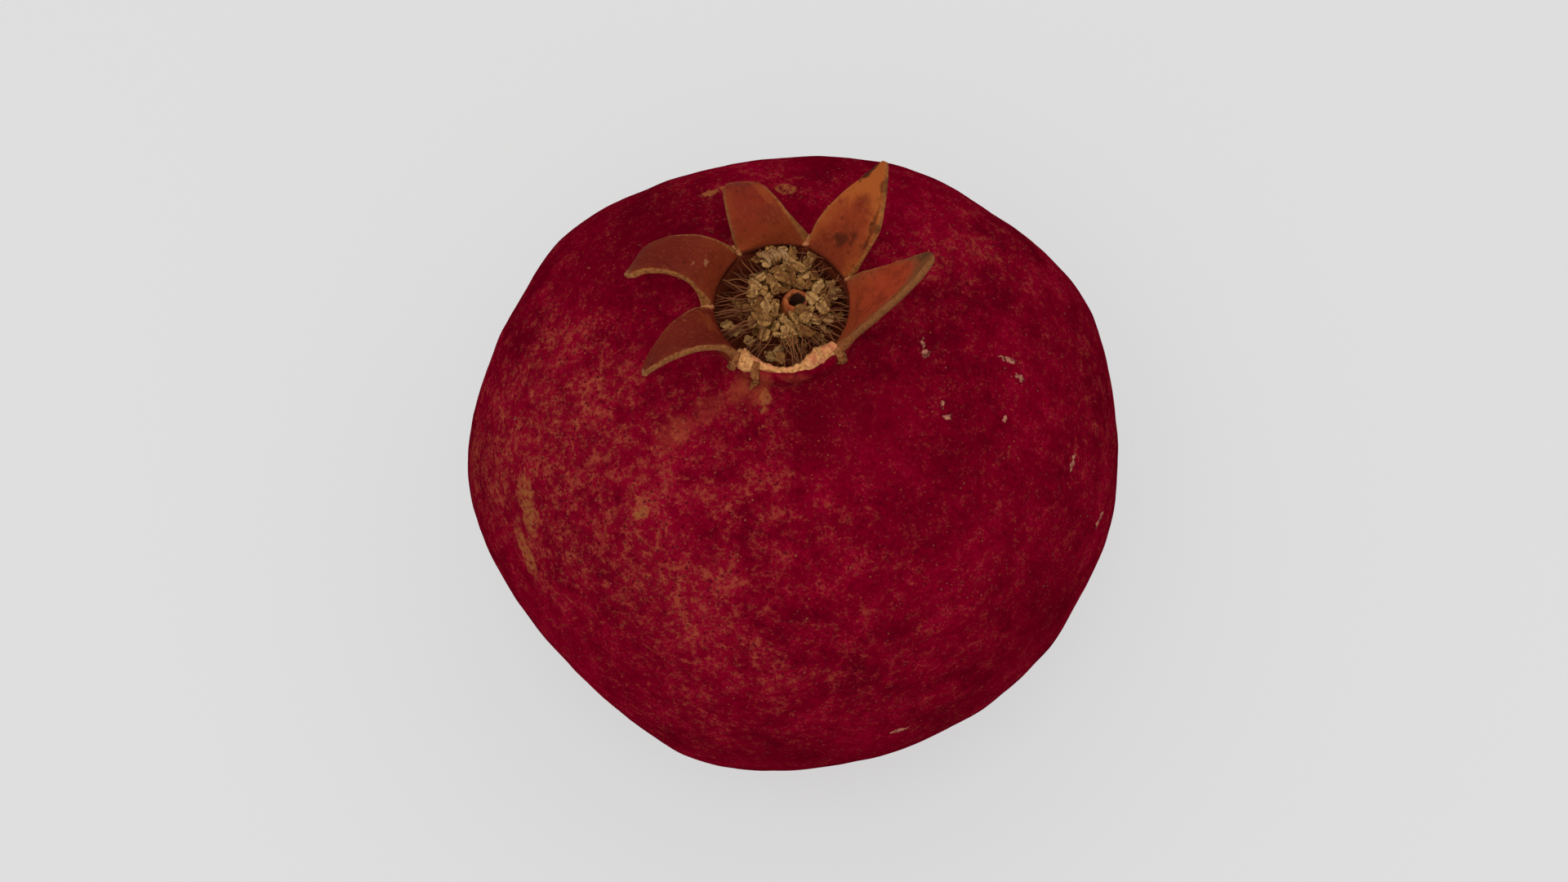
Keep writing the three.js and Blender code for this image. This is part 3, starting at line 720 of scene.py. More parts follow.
# %% Sizes of the sepals
SEPALS = {
    "sepal_front_left": dict(azimuth=210, span=51, length=12.6, lean=(12, 148), sweep=(0, 6),
                             twist=(0, -37), bulge=-0.12, taper=1.8, tip=0.9, flatten=0.5,
                             margin=0.8, seed=1),
    "sepal_back_left": dict(azimuth=156, span=55, length=12.5, lean=(18, 154), sweep=(0, 44),
                            twist=(4, -16), bulge=-0.3, taper=1.85, tip=0.35, flatten=1.5,
                            margin=0.8, seed=2, lobes=[(1, 0.88, 0.06, 0.55)]),
    "sepal_back": dict(azimuth=98, span=59, length=10, lean=(6, 153), sweep=(31, 13),
                       twist=(10, -3), bulge=-0.2, taper=3, tip=1, flatten=1.15,
                       margin=0.7, seed=3),
    "sepal_back_right": dict(azimuth=46, span=47, length=12.6, lean=(44, 61), sweep=(-3, 16),
                             twist=(0, 30), bulge=0.28, taper=1.5, tip=0.62, flatten=0.8,
                             margin=0.6, seed=4, lobes=[(-1, 0.5, 0.2, 0.3)]),
    "sepal_right": dict(azimuth=-10, span=66, length=12.8, lean=(28, 56), sweep=(2, 42),
                        twist=(0, 19), bulge=0, taper=1.25, tip=0.52, flatten=0.56,
                        margin=0.8, seed=5),
}
SEPAL_THICKNESS = 1.5
SEPAL_BLEND = 0.22
ROOT_DEPTH = 2.6       # how far a foot reaches down the tube's wall
UP_STEPS, ACROSS_STEPS, ROOT_STEPS = 84, 40, 10
LINE_STEPS = 400       # steps of the line up the middle of a sepal
print(len(SEPALS), "sepals, the longest", max(s["length"] for s in SEPALS.values()), "mm")


def mix(a, b, t):
    return a + (b - a) * t


def smoothstep(low, high, x):
    t = np.clip((x - low) / (high - low), 0, 1)
    return t * t * (3 - 2 * t)


def ripple(x, y, seed):
    """Smooth uneven waves for margins and ridges, about -1 to 1."""
    return (np.sin(x * 5.1 + y * 2.3 + seed * 1.7) + np.sin(x * 11.3 - y * 4.1 + seed * 2.9) * 0.6
            + np.sin(x * 23.7 + y * 7.9 + seed * 4.3) * 0.4) / 2


# %% The sheet of a sepal


def circle_points(radius, azimuth, z):
    return np.stack([radius * np.cos(azimuth), radius * np.sin(azimuth), z + 0 * azimuth], -1)


def sepal_sheet(sepal, u, s):
    """Middle layer and normals of a sepal for grids of u, across, and s, from foot to tip."""
    azimuth, half_span = math.radians(sepal["azimuth"]), math.radians(sepal["span"] / 2)
    outward = np.array([math.cos(azimuth), math.sin(azimuth), 0])
    sideways = np.array([-math.sin(azimuth), math.cos(azimuth), 0])
    upward = np.array([0, 0, 1.0])
    foot_half = CROWN_RADIUS * math.sin(half_span)
    foot_bow = CROWN_RADIUS * (1 - math.cos(half_span))

    def directions(s):
        lean = np.radians(mix(*sepal["lean"], s))[..., None]
        sweep = np.radians(mix(*sepal["sweep"], s))[..., None]
        rising = outward * np.sin(lean) + upward * np.cos(lean)
        return (rising * np.cos(sweep) + sideways * np.sin(sweep),
                sideways * np.cos(sweep) - rising * np.sin(sweep))

    fine = (np.arange(LINE_STEPS) + 0.5) / LINE_STEPS
    steps = directions(fine)[0] * sepal["length"] / LINE_STEPS
    line = np.concatenate([[[0, 0, 0]], np.cumsum(steps, 0)])
    line += CROWN_RADIUS * outward + upward * SEPAL_FOOT_Z
    at = np.linspace(0, 1, LINE_STEPS + 1)
    midline = np.stack([np.interp(s, at, line[:, axis]) for axis in range(3)], -1)
    along, across = directions(s)
    normal = np.cross(across, along)
    twist = np.radians(mix(*sepal["twist"], s))[..., None]
    turned_across = across * np.cos(twist) + normal * np.sin(twist)
    turned_normal = normal * np.cos(twist) - across * np.sin(twist)
    shape = np.maximum(1 - s ** sepal["taper"], 0) ** sepal["tip"]
    half_width = np.maximum(foot_half * shape * (1 + sepal["bulge"] * np.sin(np.pi * s)), 0.3)
    bow = foot_bow * (half_width / foot_half) ** 2 * (1 - s * sepal["flatten"])
    half_width = half_width + 0.12 * ripple(s, np.sign(u), sepal["seed"]) * smoothstep(0.05, 0.3, s)
    for side, place, reach, amount in sepal.get("lobes", ()):
        half_width = half_width + (amount * np.exp(-((s - place) / reach) ** 2)
                                   * np.maximum(side * u, 0) ** 2)
    sheet = (midline + turned_across * (u * half_width)[..., None]
             - turned_normal * (bow * u * u)[..., None])
    rim = circle_points(CROWN_RADIUS, azimuth + u * half_span, SEPAL_FOOT_Z)
    start_across, start_normal = turned_across[:1], turned_normal[:1]
    start = (line[0] + start_across * (u * foot_half)[..., None]
             - start_normal * (foot_bow * u * u)[..., None])
    rise = smoothstep(0, SEPAL_BLEND, s)[..., None]
    level = circle_points(1.0, azimuth + u * half_span, 0.0)
    normals = level * (1 - rise) + turned_normal * rise
    normals /= np.linalg.norm(normals, axis=-1, keepdims=True)
    return sheet + (rim - start) * (1 - rise), normals


for name, sepal in SEPALS.items():
    tip, _ = sepal_sheet(sepal, np.array([[0.0], [0.0]]), np.array([[0.0], [1.0]]))
    print(name, "has its tip at", tip[1, 0].round(1))

# %% The mesh of a sepal


def sheet_faces(rows, columns, first, flip):
    faces = []
    for i in range(rows - 1):
        for j in range(columns - 1):
            a = first + i * columns + j
            face = (a, a + 1, a + columns + 1, a + columns)
            faces.append(face[::-1] if flip else face)
    return faces


def closed_sheet(name, front, back, uv, material):
    """A closed body between two layers of points, joined by a strip all round the edge."""
    rows, columns = front.shape[:2]
    points = np.concatenate([front.reshape(-1, 3), back.reshape(-1, 3)])
    faces = sheet_faces(rows, columns, 0, False) + sheet_faces(rows, columns, rows * columns, True)
    edge = list(range(columns))
    edge += [i * columns + columns - 1 for i in range(1, rows)]
    edge += [(rows - 1) * columns + j for j in range(columns - 2, -1, -1)]
    edge += [i * columns for i in range(rows - 2, 0, -1)]
    other = rows * columns
    for a, b in zip(edge, edge[1:] + edge[:1]):
        faces.append((b, a, a + other, b + other))
    return mesh_piece(name, points + np.array(CROWN), faces, material,
                      np.concatenate([uv.reshape(-1, 2)] * 2))


def sepal_piece(name, sepal, material):
    turns = np.linspace(-math.pi / 2, math.pi / 2, ACROSS_STEPS + 1)
    rises = np.sin(np.linspace(0, math.pi / 2, UP_STEPS + 1))
    u, s = np.meshgrid(np.sin(turns), rises)
    middle, normals = sepal_sheet(sepal, u, s)
    margin, seed = sepal["margin"], sepal["seed"]
    body = (1 - np.abs(u) ** 4) * (1 - s ** 3)
    foot = 1 - smoothstep(0, SEPAL_BLEND, s)
    thickness = mix(margin, SEPAL_THICKNESS, np.maximum(body, foot))
    # the thickness closes in an arc at the margin and at the tip
    close = np.sqrt(np.maximum(1 - np.maximum(np.abs(u), s ** 6) ** 14, 0)) * 0.82 + 0.18
    half = thickness * close / 2
    # a raised lip along the margin, fine ridges along the sepal and shallow wrinkles across it
    lip = 0.09 * smoothstep(0.8, 0.93, np.abs(u)) * smoothstep(0.08, 0.2, s)
    ridges = 0.03 * np.sin(u * 34 + ripple(s * 1.5, u, seed) * 2.2) * smoothstep(0, 0.3, s)
    wrinkles = 0.05 * ripple(s * 2.6, u * 0.8, seed + 5)
    surface = (lip + ridges + wrinkles) * (1 - s ** 8)
    inner = middle - normals * (half + surface)[..., None]
    outer = middle + normals * (half + ridges * 0.8)[..., None]
    # the foot: rows that go down the wall of the tube, a little proud of it
    down = np.linspace(1, 0, ROOT_STEPS + 1)[:-1]
    u_root, d_root = np.meshgrid(np.sin(turns), down)
    azimuth = math.radians(sepal["azimuth"]) + u_root * math.radians(sepal["span"] / 2)
    z_root = SEPAL_FOOT_Z - d_root * ROOT_DEPTH * (1 - 0.35 * np.abs(u_root) ** 3)
    swell = 0.16 * (1 - u_root ** 2) * (1 - d_root) - 0.12 * d_root ** 3
    root_half = SEPAL_THICKNESS / 2 * close[0]
    inner_root = circle_points(CROWN_RADIUS - root_half - 0.05 - swell, azimuth, z_root)
    outer_root = circle_points(CROWN_RADIUS + root_half + 0.05 - 0.1 * d_root, azimuth, z_root)
    inner = np.concatenate([inner_root, inner])
    outer = np.concatenate([outer_root, outer])
    uv = np.stack([np.concatenate([u_root, u]) / 2 + 0.5,
                   np.concatenate([-d_root * 0.2, s]) * 0.8 + 0.2], -1)
    return closed_sheet(name, outer, inner, uv, material)


print("a sepal has", 2 * (UP_STEPS + ROOT_STEPS + 1) * (ACROSS_STEPS + 1), "points")

# %% [markdown]
# ## The finish of a sepal
# Dry sepals are red-brown to orange-brown inside, with lengthwise grain, and turn tan along the
# margin and at the foot. Each one has withered a little differently, so one function makes the
# finish and each sepal gives it its own colours.

# %% Sepal material
BLOT_WANDER = 0.7


def sepal_material(name, middle, foot, tip, margin, tip_from=0.85, blots=()):
    material, tree, shader, place = new_material(name)
    uv = add(tree, "ShaderNodeTexCoord", output=2)
    side = (uv.part(0) - 0.5) * 2.0
    across = side.math("ABSOLUTE")
    along = (uv.part(1) - 0.2) / 0.8
    grain_place = uv.vector("MULTIPLY", (0.016, 0.0045, 0.0))
    grain = noise(tree, grain_place, 0.3, 4.0, 0.65)
    clouds = noise(tree, place, 3.0, 4.0, 0.65)
    fine = noise(tree, place, 0.4, 3.0, 0.65)
    skin = mixed(tree, (along + clouds * 0.3 - 0.15).ramp(0.02, 0.5), foot, middle)
    # paler towards both margins, with grain and cloudy withering between
    pale = (across * 0.6 + clouds * 0.8 - 0.4).ramp(0.25, 0.75)
    skin = mixed(tree, pale * 0.5, skin, tip)
    skin = mixed(tree, (clouds * 0.62 + grain * 0.38).ramp(0.4, 0.52).flipped() * 0.4, skin,
                 colour(74, 16, 12))
    skin = mixed(tree, grain.ramp(0.5, 0.7) * 0.12, skin, margin)
    skin = mixed(tree, fine.ramp(0.56, 0.76) * 0.3, skin, margin)
    withered = (along + (clouds - 0.5) * 0.5 + across * 0.1).ramp(tip_from, tip_from + 0.22)
    skin = mixed(tree, withered * 0.85, skin, tip)
    spots = cells(tree, place, 1.3).ramp(0.1, 0.26).flipped() * clouds.ramp(0.42, 0.6)
    skin = mixed(tree, spots * 0.5, skin, colour(54, 22, 12))
    edge = (across + (fine - 0.5) * 0.1).ramp(0.88, 0.97)
    rough_edge = mixed(tree, fine.ramp(0.3, 0.6), colour(104, 60, 30), margin)
    skin = mixed(tree, edge * 0.9, skin, rough_edge)
    # the foot is dark inside the cup and takes the red of the skin outside it
    root = (along + (fine - 0.5) * 0.06).ramp(-0.06, 0.03).flipped()
    outside = place.from_axis(CROWN * MM).math("GREATER_THAN", CROWN_RADIUS * MM)
    skin = mixed(tree, root * 0.9, skin, mixed(tree, outside, colour(76, 28, 18), SKIN_RED))
    # blots with uneven edges: the offset here is a share of the sepal, not a length
    wander = noise_vector(tree, place, 1.2, BLOT_WANDER / MM)
    for side_at, along_at, wide, long, tint, strength in blots:
        a = (side + wander.part(0) - side_at) / wide
        b = (along + wander.part(1) * 0.4 - along_at) / long
        near = (a * a + b * b).ramp(0.0, 1.3).flipped()
        skin = mixed(tree, near * strength, skin, tint)
    roughness = clouds.ramp(0.3, 0.7, 0.65, 0.8)
    finish(tree, shader, skin, roughness, 0.04, grain * 0.5 + fine * 0.5, 0.08)
    return material


CREAM, BLACKISH = colour(186, 140, 92), colour(34, 18, 12)
OLIVE, ORANGE = colour(92, 66, 38), colour(158, 80, 34)
TAN, DULL, SCORCHED = colour(146, 96, 56), colour(66, 44, 26), colour(70, 28, 14)
# Blots: place across (-1 to 1) and along (0 to 1), their half sizes, colour, strength
SEPAL_FINISH = {
    "sepal_front_left": dict(
        middle=colour(98, 26, 18), foot=colour(110, 34, 20), tip=colour(108, 44, 24),
        margin=colour(144, 90, 50),
        blots=[(0, 1, 1, 0.04, CREAM, 0.8), (-0.3, 0.15, 0.5, 0.1, ORANGE, 0.3)]),
    "sepal_back_left": dict(
        middle=colour(98, 27, 19), foot=colour(120, 44, 22), tip=colour(112, 48, 24),
        margin=colour(144, 90, 46),
        blots=[(0.9, 0.95, 0.5, 0.06, TAN, 0.8), (-0.1, 0.2, 0.12, 0.03, CREAM, 0.3),
               (0.2, 0.3, 0.1, 0.025, CREAM, 0.25)]),
    "sepal_back": dict(
        middle=colour(118, 37, 22), foot=colour(128, 52, 25), tip=colour(132, 60, 28),
        margin=colour(138, 84, 42),
        blots=[(1, 0.55, 0.14, 0.5, OLIVE, 0.35), (-0.75, 0.7, 0.2, 0.4, ORANGE, 0.3)]),
    "sepal_back_right": dict(
        middle=colour(130, 49, 25), foot=colour(118, 44, 22), tip=colour(164, 84, 35),
        margin=colour(150, 90, 44), tip_from=0.5,
        blots=[(0.0, 0.2, 0.22, 0.07, SCORCHED, 0.8), (-0.35, 0.3, 0.18, 0.07, SCORCHED, 0.75),
               (-0.85, 0.45, 0.16, 0.22, BLACKISH, 0.6), (0.8, 0.86, 0.35, 0.13, BLACKISH, 0.9),
               (-0.9, 0.78, 0.22, 0.12, BLACKISH, 0.6)]),
    "sepal_right": dict(
        middle=colour(152, 54, 29), foot=colour(146, 58, 30), tip=colour(102, 62, 34),
        margin=colour(138, 82, 45), tip_from=0.74,
        blots=[(-0.95, 0.55, 0.22, 0.5, OLIVE, 0.3), (0.3, 0.93, 0.5, 0.05, DULL, 0.7),
               (-0.3, 0.99, 0.5, 0.03, DULL, 0.7)]),
}
for name, sepal in SEPALS.items():
    sepal_skin = sepal_material(name + "_skin", **SEPAL_FINISH[name])
    piece = sepal_piece(name + "_curled", sepal, sepal_skin)
    place_piece(piece, "sepal", name)
    print(piece.name, len(piece.data.polygons), "faces")

# %% [markdown]
# ## Torn rim
# Between the first and the last lobe the front of the crown is torn off. What is left is a
# ragged cream edge on the rim, thick at both ends and thin in the middle, with three dried strips
# that hang down outside. Edge and strips are one piece, made row by row round the rim.

# %% Torn rim
# Azimuth, height above the rim, inner radius, outer radius
TORN_EDGE = [
    (230, 0.55, 7.6, 9.0), (236, 0.9, 7.45, 9.3), (242, 0.75, 7.4, 9.45), (248, 0.35, 7.5, 9.1),
    (255, 0.26, 7.85, 8.6), (263, 0.2, 7.95, 8.5), (271, 0.2, 8.05, 8.6), (279, 0.22, 8.1, 8.8),
    (286, 0.4, 7.85, 8.75), (293, 0.85, 7.4, 8.8), (300, 1.15, 7.15, 8.75), (307, 1.0, 7.1, 8.7),
    (312, 0.55, 7.3, 8.8), (319, 0.6, 7.5, 9.0),
]
TORN_FOOT = 1.1        # how far the torn edge reaches down over the rim
TORN_STEPS = 150
# Azimuth, half width (degrees), inner start (radius, height above the rim), lowest height
STRIPS = [(250.5, 3.1, (8.1, 0.4), -3.1), (317, 4.3, (8.7, 0.7), -2.0),
          (232.5, 3.2, (8.4, 1.5), -1.0)]


def outer_radius(z):
    """The outside radius at a height, on the neck and the outer half of the rim."""
    radii, heights = zip(*(neck + rim[:len(rim) // 2 + 1]))
    return float(np.interp(z, heights, radii))


def torn_rows():
    stops = np.array(TORN_EDGE)
    azimuth = np.linspace(stops[0, 0], stops[-1, 0], TORN_STEPS)
    height, inner, outer = (np.interp(azimuth, stops[:, 0], stops[:, k]) for k in (1, 2, 3))
    rng = np.random.default_rng(5)
    jag = ripple(azimuth * 0.045, 0.0, 2) + 0.4 * ripple(azimuth * 0.13, 1.0, 4)
    chip = ripple(azimuth * 0.05, 2.0, 6) + 0.15 * rng.uniform(-1, 1, TORN_STEPS)
    height = np.maximum(height + 0.55 * jag * height, 0.1)
    inner, outer = inner + 0.18 * chip, outer + 0.15 * np.roll(jag, 5)
    # round the section: inside foot, inside top, crest, outside top, outside foot
    rows = [(inner * 0 + 7.9, -TORN_FOOT), (inner + 0.1, height * 0.3), (inner, height * 0.8),
            (mix(inner, outer, 0.3), height), (mix(inner, outer, 0.7), height * 0.93),
            (outer, height * 0.55), (outer + 0.12, -0.12), (outer * 0 + 9.3, -TORN_FOOT)]
    azimuth = np.radians(azimuth)
    points = [circle_points(radius, azimuth, RIM_Z + rise) for radius, rise in rows]
    return np.stack(points, 1)


def tube_faces(rings, section, first=0):
    """Faces of a closed tube of rings, with both ends closed."""
    faces = []
    for i in range(rings - 1):
        for j in range(section):
            a, b = first + i * section + j, first + i * section + (j + 1) % section
            faces.append((a, a + section, b + section, b))
    faces.append(tuple(first + j for j in range(section)))
    faces.append(tuple(first + (rings - 1) * section + j for j in reversed(range(section))))
    return faces


def strip_rows(azimuth, half_span, start, bottom):
    """A thin dried strip that lies over the rim and down the outside of the neck."""
    route = [(start[0], RIM_Z + start[1]), (9.15, RIM_Z + start[1] * 0.7), (9.85, RIM_Z - 0.25)]
    route += [(outer_radius(RIM_Z + z) + 0.22, RIM_Z + z)
              for z in np.linspace(-0.7, bottom, 6) if z < -0.6]
    stops = np.linspace(0, 1, len(route))
    rings = []
    for t in np.linspace(0, 1, 26):
        radius, z = (float(np.interp(t, stops, [p[axis] for p in route])) for axis in (0, 1))
        before, after = (np.array([np.interp(np.clip(t + d, 0, 1), stops, [p[axis] for p in route])
                                   for axis in (0, 1)]) for d in (-0.06, 0.06))
        slope = (after - before) / np.linalg.norm(after - before)
        half = half_span * (1 - 0.35 * t - 0.4 * t ** 8) * (1 + 0.16 * math.sin(t * 13 + azimuth))
        edge = np.linspace(-1, 1, 9)
        turns = np.radians(azimuth + 1.6 * math.sin(t * 5 + azimuth) + half * edge)
        lift = 0.16 * (1 - edge ** 4) + 0.05 * np.sin(edge * 5 + t * 7)
        out = circle_points(radius - slope[1] * lift, turns, z + slope[0] * lift)
        back = circle_points(radius + slope[1] * 0.12, turns[::-1], z - slope[0] * 0.12)
        rings.append(np.concatenate([out, back]))
    return np.array(rings)


def torn_material():
    material, tree, shader, place = new_material("torn_cream")
    grains = noise(tree, place, 0.45, 3.0, 0.7)
    clouds = noise(tree, place, 1.6, 3.0, 0.6)
    skin = mixed(tree, grains.ramp(0.3, 0.65), colour(154, 96, 54), colour(208, 150, 92))
    skin = mixed(tree, clouds.ramp(0.5, 0.64) * 0.5, skin, colour(190, 96, 76))
    skin = mixed(tree, grains.ramp(0.3, 0.42).flipped() * 0.4, skin, colour(118, 66, 40))
    brown = mixed(tree, grains.ramp(0.35, 0.62), colour(96, 46, 22), colour(142, 88, 46))
    height = place.part(2) + (clouds - 0.5) * (0.8 * MM)
    low = height.ramp((RIM_Z - 0.6) * MM, (RIM_Z - 0.2) * MM)
    skin = mixed(tree, low, brown, skin)
    skin = mixed(tree, attribute(tree, "dried"), skin, brown)
    finish(tree, shader, skin, 0.8, 0.1, grains, 0.06)
    return material


rows = torn_rows()
torn_points = [rows.reshape(-1, 3)]
torn_faces = [face[::-1] for face in tube_faces(len(rows), rows.shape[1])]
for strip in STRIPS:
    rings = strip_rows(*strip)
    torn_faces += tube_faces(len(rings), rings.shape[1], sum(len(p) for p in torn_points))
    torn_points.append(rings.reshape(-1, 3))
torn = mesh_piece("torn_rim", np.concatenate(torn_points) + np.array(CROWN), torn_faces,
                  torn_material())
store(torn.data, "dried", np.arange(len(torn.data.vertices)) >= len(torn_points[0]))
place_piece(torn, "torn_sepal", "torn_sepal_front")
print("torn rim:", len(torn.data.polygons), "faces")

# %% [markdown]
# ## Knots
# Where two lobes part, the rim keeps a small pale knot of corky tissue. Each is a lump with
# uneven skin, sunk half into the rim.

# %% Knots
# Azimuth, width, height, how far it sticks out (half sizes)
KNOTS = [(183, 0.5, 0.42, 0.8), (127.5, 0.42, 0.5, 0.8), (70, 0.62, 0.5, 0.8),
         (22.5, 0.35, 0.4, 0.8), (-42, 0.42, 0.45, 0.8), (234.5, 0.5, 0.45, 0.8)]
KNOT_RINGS, KNOT_SIDES = 14, 22
KNOT_DRYNESS = 0.45


def lump(middle, sizes, azimuth, seed):
    """Points and faces of a closed uneven ball."""
    turn = np.linspace(0, 2 * np.pi, KNOT_SIDES, endpoint=False)
    rise = np.linspace(-np.pi / 2, np.pi / 2, KNOT_RINGS + 2)[1:-1]
    t, r = np.meshgrid(turn, rise)
    ball = np.stack([np.cos(r) * np.cos(t), np.cos(r) * np.sin(t), np.sin(r)], -1).reshape(-1, 3)
    ball = np.concatenate([ball, [[0, 0, -1], [0, 0, 1]]])
    uneven = 1 + 0.16 * ripple(ball[:, 0] * 0.9, ball[:, 1] + ball[:, 2], seed)
    ball = ball * uneven[:, None] * sizes
    c, s = math.cos(azimuth), math.sin(azimuth)
    turned = np.stack([ball[:, 0] * c - ball[:, 1] * s, ball[:, 0] * s + ball[:, 1] * c,
                       ball[:, 2]], -1)
    faces = []
    for i in range(KNOT_RINGS - 1):
        for j in range(KNOT_SIDES):
            a, b = i * KNOT_SIDES + j, i * KNOT_SIDES + (j + 1) % KNOT_SIDES
            faces.append((a, b, b + KNOT_SIDES, a + KNOT_SIDES))
    low, last = KNOT_RINGS * KNOT_SIDES, (KNOT_RINGS - 1) * KNOT_SIDES
    for j in range(KNOT_SIDES):
        k = (j + 1) % KNOT_SIDES
        faces += [(low, k, j), (low + 1, last + j, last + k)]
    return turned + middle, faces


knot_points, knot_faces = [], []
for seed, (azimuth, wide, high, out) in enumerate(KNOTS):
    azimuth = math.radians(azimuth)
    middle = circle_points(CROWN_RADIUS - 0.05, azimuth, RIM_Z + 0.1)
    points, faces = lump(middle, (out, wide, high), azimuth, seed)
    first = sum(len(p) for p in knot_points)
    knot_points.append(points)
    knot_faces += [tuple(first + i for i in face) for face in faces]
knots = mesh_piece("rim_knots", np.concatenate(knot_points) + np.array(CROWN), knot_faces,
                   torn.data.materials[0])
store(knots.data, "dried", np.full(len(knots.data.vertices), KNOT_DRYNESS))
place_piece(knots, "torn_sepal")
print(len(KNOTS), "knots:", len(knots.data.polygons), "faces")

# %% [markdown]
# ## Style
# The stump of the style stands in the cup and leans to the back right. It is a little pipe,
# broken off at the top, so it is rolled from an outline, leaned over more the higher it goes,
# and given an uneven mouth with a hole, painted dark inside as shade.

# %% Style
STYLE_TOP = (1.68, 1.28)
STYLE_HEIGHT = 7.8
STYLE_OUTLINE = [(1.75, -0.6), (1.7, 0.3), (1.4, 1.6), (1.3, 3.0), (1.3, 4.6), (1.38, 6.0),
                 (1.5, 7.0), (1.5, 7.5), (1.36, 7.8), (1.1, 7.85), (0.9, 7.7), (0.78, 7.2),
                 (0.7, 6.4), (0.6, 5.2), (0.35, 5.0)]
STYLE_SIDES = 40
STYLE_RINGS = 57


def finer(points, count):
    """The two columns of a list of points, with count points on the same line."""
    stops = np.linspace(0, len(points) - 1, count)
    return [np.interp(stops, np.arange(len(points)), column) for column in zip(*points)]


def style_mesh():
    turn = np.linspace(0, 2 * np.pi, STYLE_SIDES, endpoint=False)
    points = []
    for radius, z in zip(*finer(STYLE_OUTLINE, STYLE_RINGS)):
        lean = (max(z, 0) / STYLE_HEIGHT) ** 1.4
        uneven = 1 + 0.07 * ripple(np.cos(turn) + z * 0.06, np.sin(turn), 3) * min(1, z / 3 + 0.4)
        top = z + 0.16 * np.sin(turn * 3 + 1) * max(0, (z - 5.5) / 2.5)
        points.append(np.stack([STYLE_TOP[0] * lean + radius * uneven * np.cos(turn),
                                STYLE_TOP[1] * lean + radius * uneven * np.sin(turn),
                                CUP_FLOOR_Z + top], -1))
    faces = [face[::-1] for face in tube_faces(len(points), STYLE_SIDES)]
    return np.array(points).reshape(-1, 3), faces


def style_material():
    material, tree, shader, place = new_material("style_brown")
    fine, clouds = noise(tree, place, 0.5, 3.0, 0.6), noise(tree, place, 1.6, 3.0)
    skin = mixed(tree, clouds.ramp(0.35, 0.65), colour(146, 66, 30), colour(186, 104, 54))
    skin = mixed(tree, fine.ramp(0.35, 0.5).flipped() * 0.5, skin, colour(62, 30, 16))
    # painted shade: the inside of the hole is coloured near black
    mouth = Vector((CROWN.x + STYLE_TOP[0] + 0.1, CROWN.y + STYLE_TOP[1], 0)) * MM
    away = place.from_axis(mouth) + (fine - 0.5) * (0.6 * MM)
    high = place.part(2).ramp((CUP_FLOOR_Z + 4) * MM, (CUP_FLOOR_Z + 5) * MM)
    hole_shade = away.ramp(0.8 * MM, 1.1 * MM).flipped() * high
    skin = mixed(tree, hole_shade * 0.95, skin, colour(24, 10, 5))
    finish(tree, shader, skin, 0.7, 0.15, fine, 0.08)
    return material


points, faces = style_mesh()
style = mesh_piece("style_stump", points + np.array(CROWN), faces, style_material())
place_piece(style, "style", "style")
print("style:", len(style.data.polygons), "faces")

# %% [markdown]
# ## Stamens
# Some hundred dried stamens crowd the cup. Their threads spring from its wall and lean in, and
# their anthers, small bilobed beans, pile up round the style. They all follow one rule, so
# Geometry Nodes make them from a mesh of bare lines: each line becomes a thread, and a bean is
# set on its free end. Positions, sizes and turns come from seeded chance.

# %% Where the stamens go
ANTHER_HALF = (0.92, 0.56, 0.36)
STYLE_CLEAR = 1.62
OPEN_MIDDLE, OPEN_REACH = (0.55, 0.25), 1.3      # no anther hides the front of the style
WALL_ROOM = 0.55
HEAP_MIDDLE = (0.75, 0.9)
# How many, radius from and to, depth below the rim from and to, least distance between two
HEAP_LAYERS = [(44, 1.5, 4.3, 0.0, 0.9, 0.95), (40, 1.5, 5.0, 1.0, 1.9, 1.0),
               (34, 3.0, 6.6, 2.2, 3.6, 1.1)]
# Anthers that lie apart: x, y from the crown's axis, depth
LOOSE_ANTHERS = [(-0.2, -6.75, 0.1), (3.1, 6.1, 0.9), (2.6, 5.2, 0.7), (6.1, 2.0, 1.9),
                 (5.3, -0.8, 1.7), (-4.9, 1.0, 2.2), (-6.6, -1.6, 2.0), (-5.6, -2.2, 2.4),
                 (-2.4, 6.7, 0.1), (-3.1, 6.0, 0.3), (-1.3, 7.1, -0.1), (0.1, 7.2, 0.0),
                 (-0.5, 6.2, 0.0), (1.3, 6.9, 0.3), (-1.9, 5.7, 0.2), (0.9, 5.7, 0.3),
                 (3.5, 6.6, 0.5)]
BARE_THREADS = 90
THREAD_STEPS = 12


def style_axis(z):
    lean = (max(z - CUP_FLOOR_Z, 0) / STYLE_HEIGHT) ** 1.4
    return np.array([STYLE_TOP[0] * lean, STYLE_TOP[1] * lean])


def anther_places(rng):
    places = [(x, y, RIM_Z - down) for x, y, down in LOOSE_ANTHERS]
    for count, near, far, high, low, apart in HEAP_LAYERS:
        layer, tries = [], 0
        while len(layer) < count and tries < 4000:
            tries += 1
            turn, radius = rng.uniform(0, 2 * math.pi), math.sqrt(rng.uniform(near ** 2, far ** 2))
            z = RIM_Z - rng.uniform(high, low)
            x = HEAP_MIDDLE[0] + radius * math.cos(turn)
            y = HEAP_MIDDLE[1] + radius * math.sin(turn)
            if math.hypot(x, y) > TUBE_INNER - WALL_ROOM - 0.3:
                continue
            if math.dist((x, y), style_axis(z)) < STYLE_CLEAR:
                continue
            if math.dist((x, y), OPEN_MIDDLE) < OPEN_REACH:
                continue
            if all(math.dist((x, y), p[:2]) > apart for p in layer):
                layer.append((x, y, z))
        places += layer
    return places


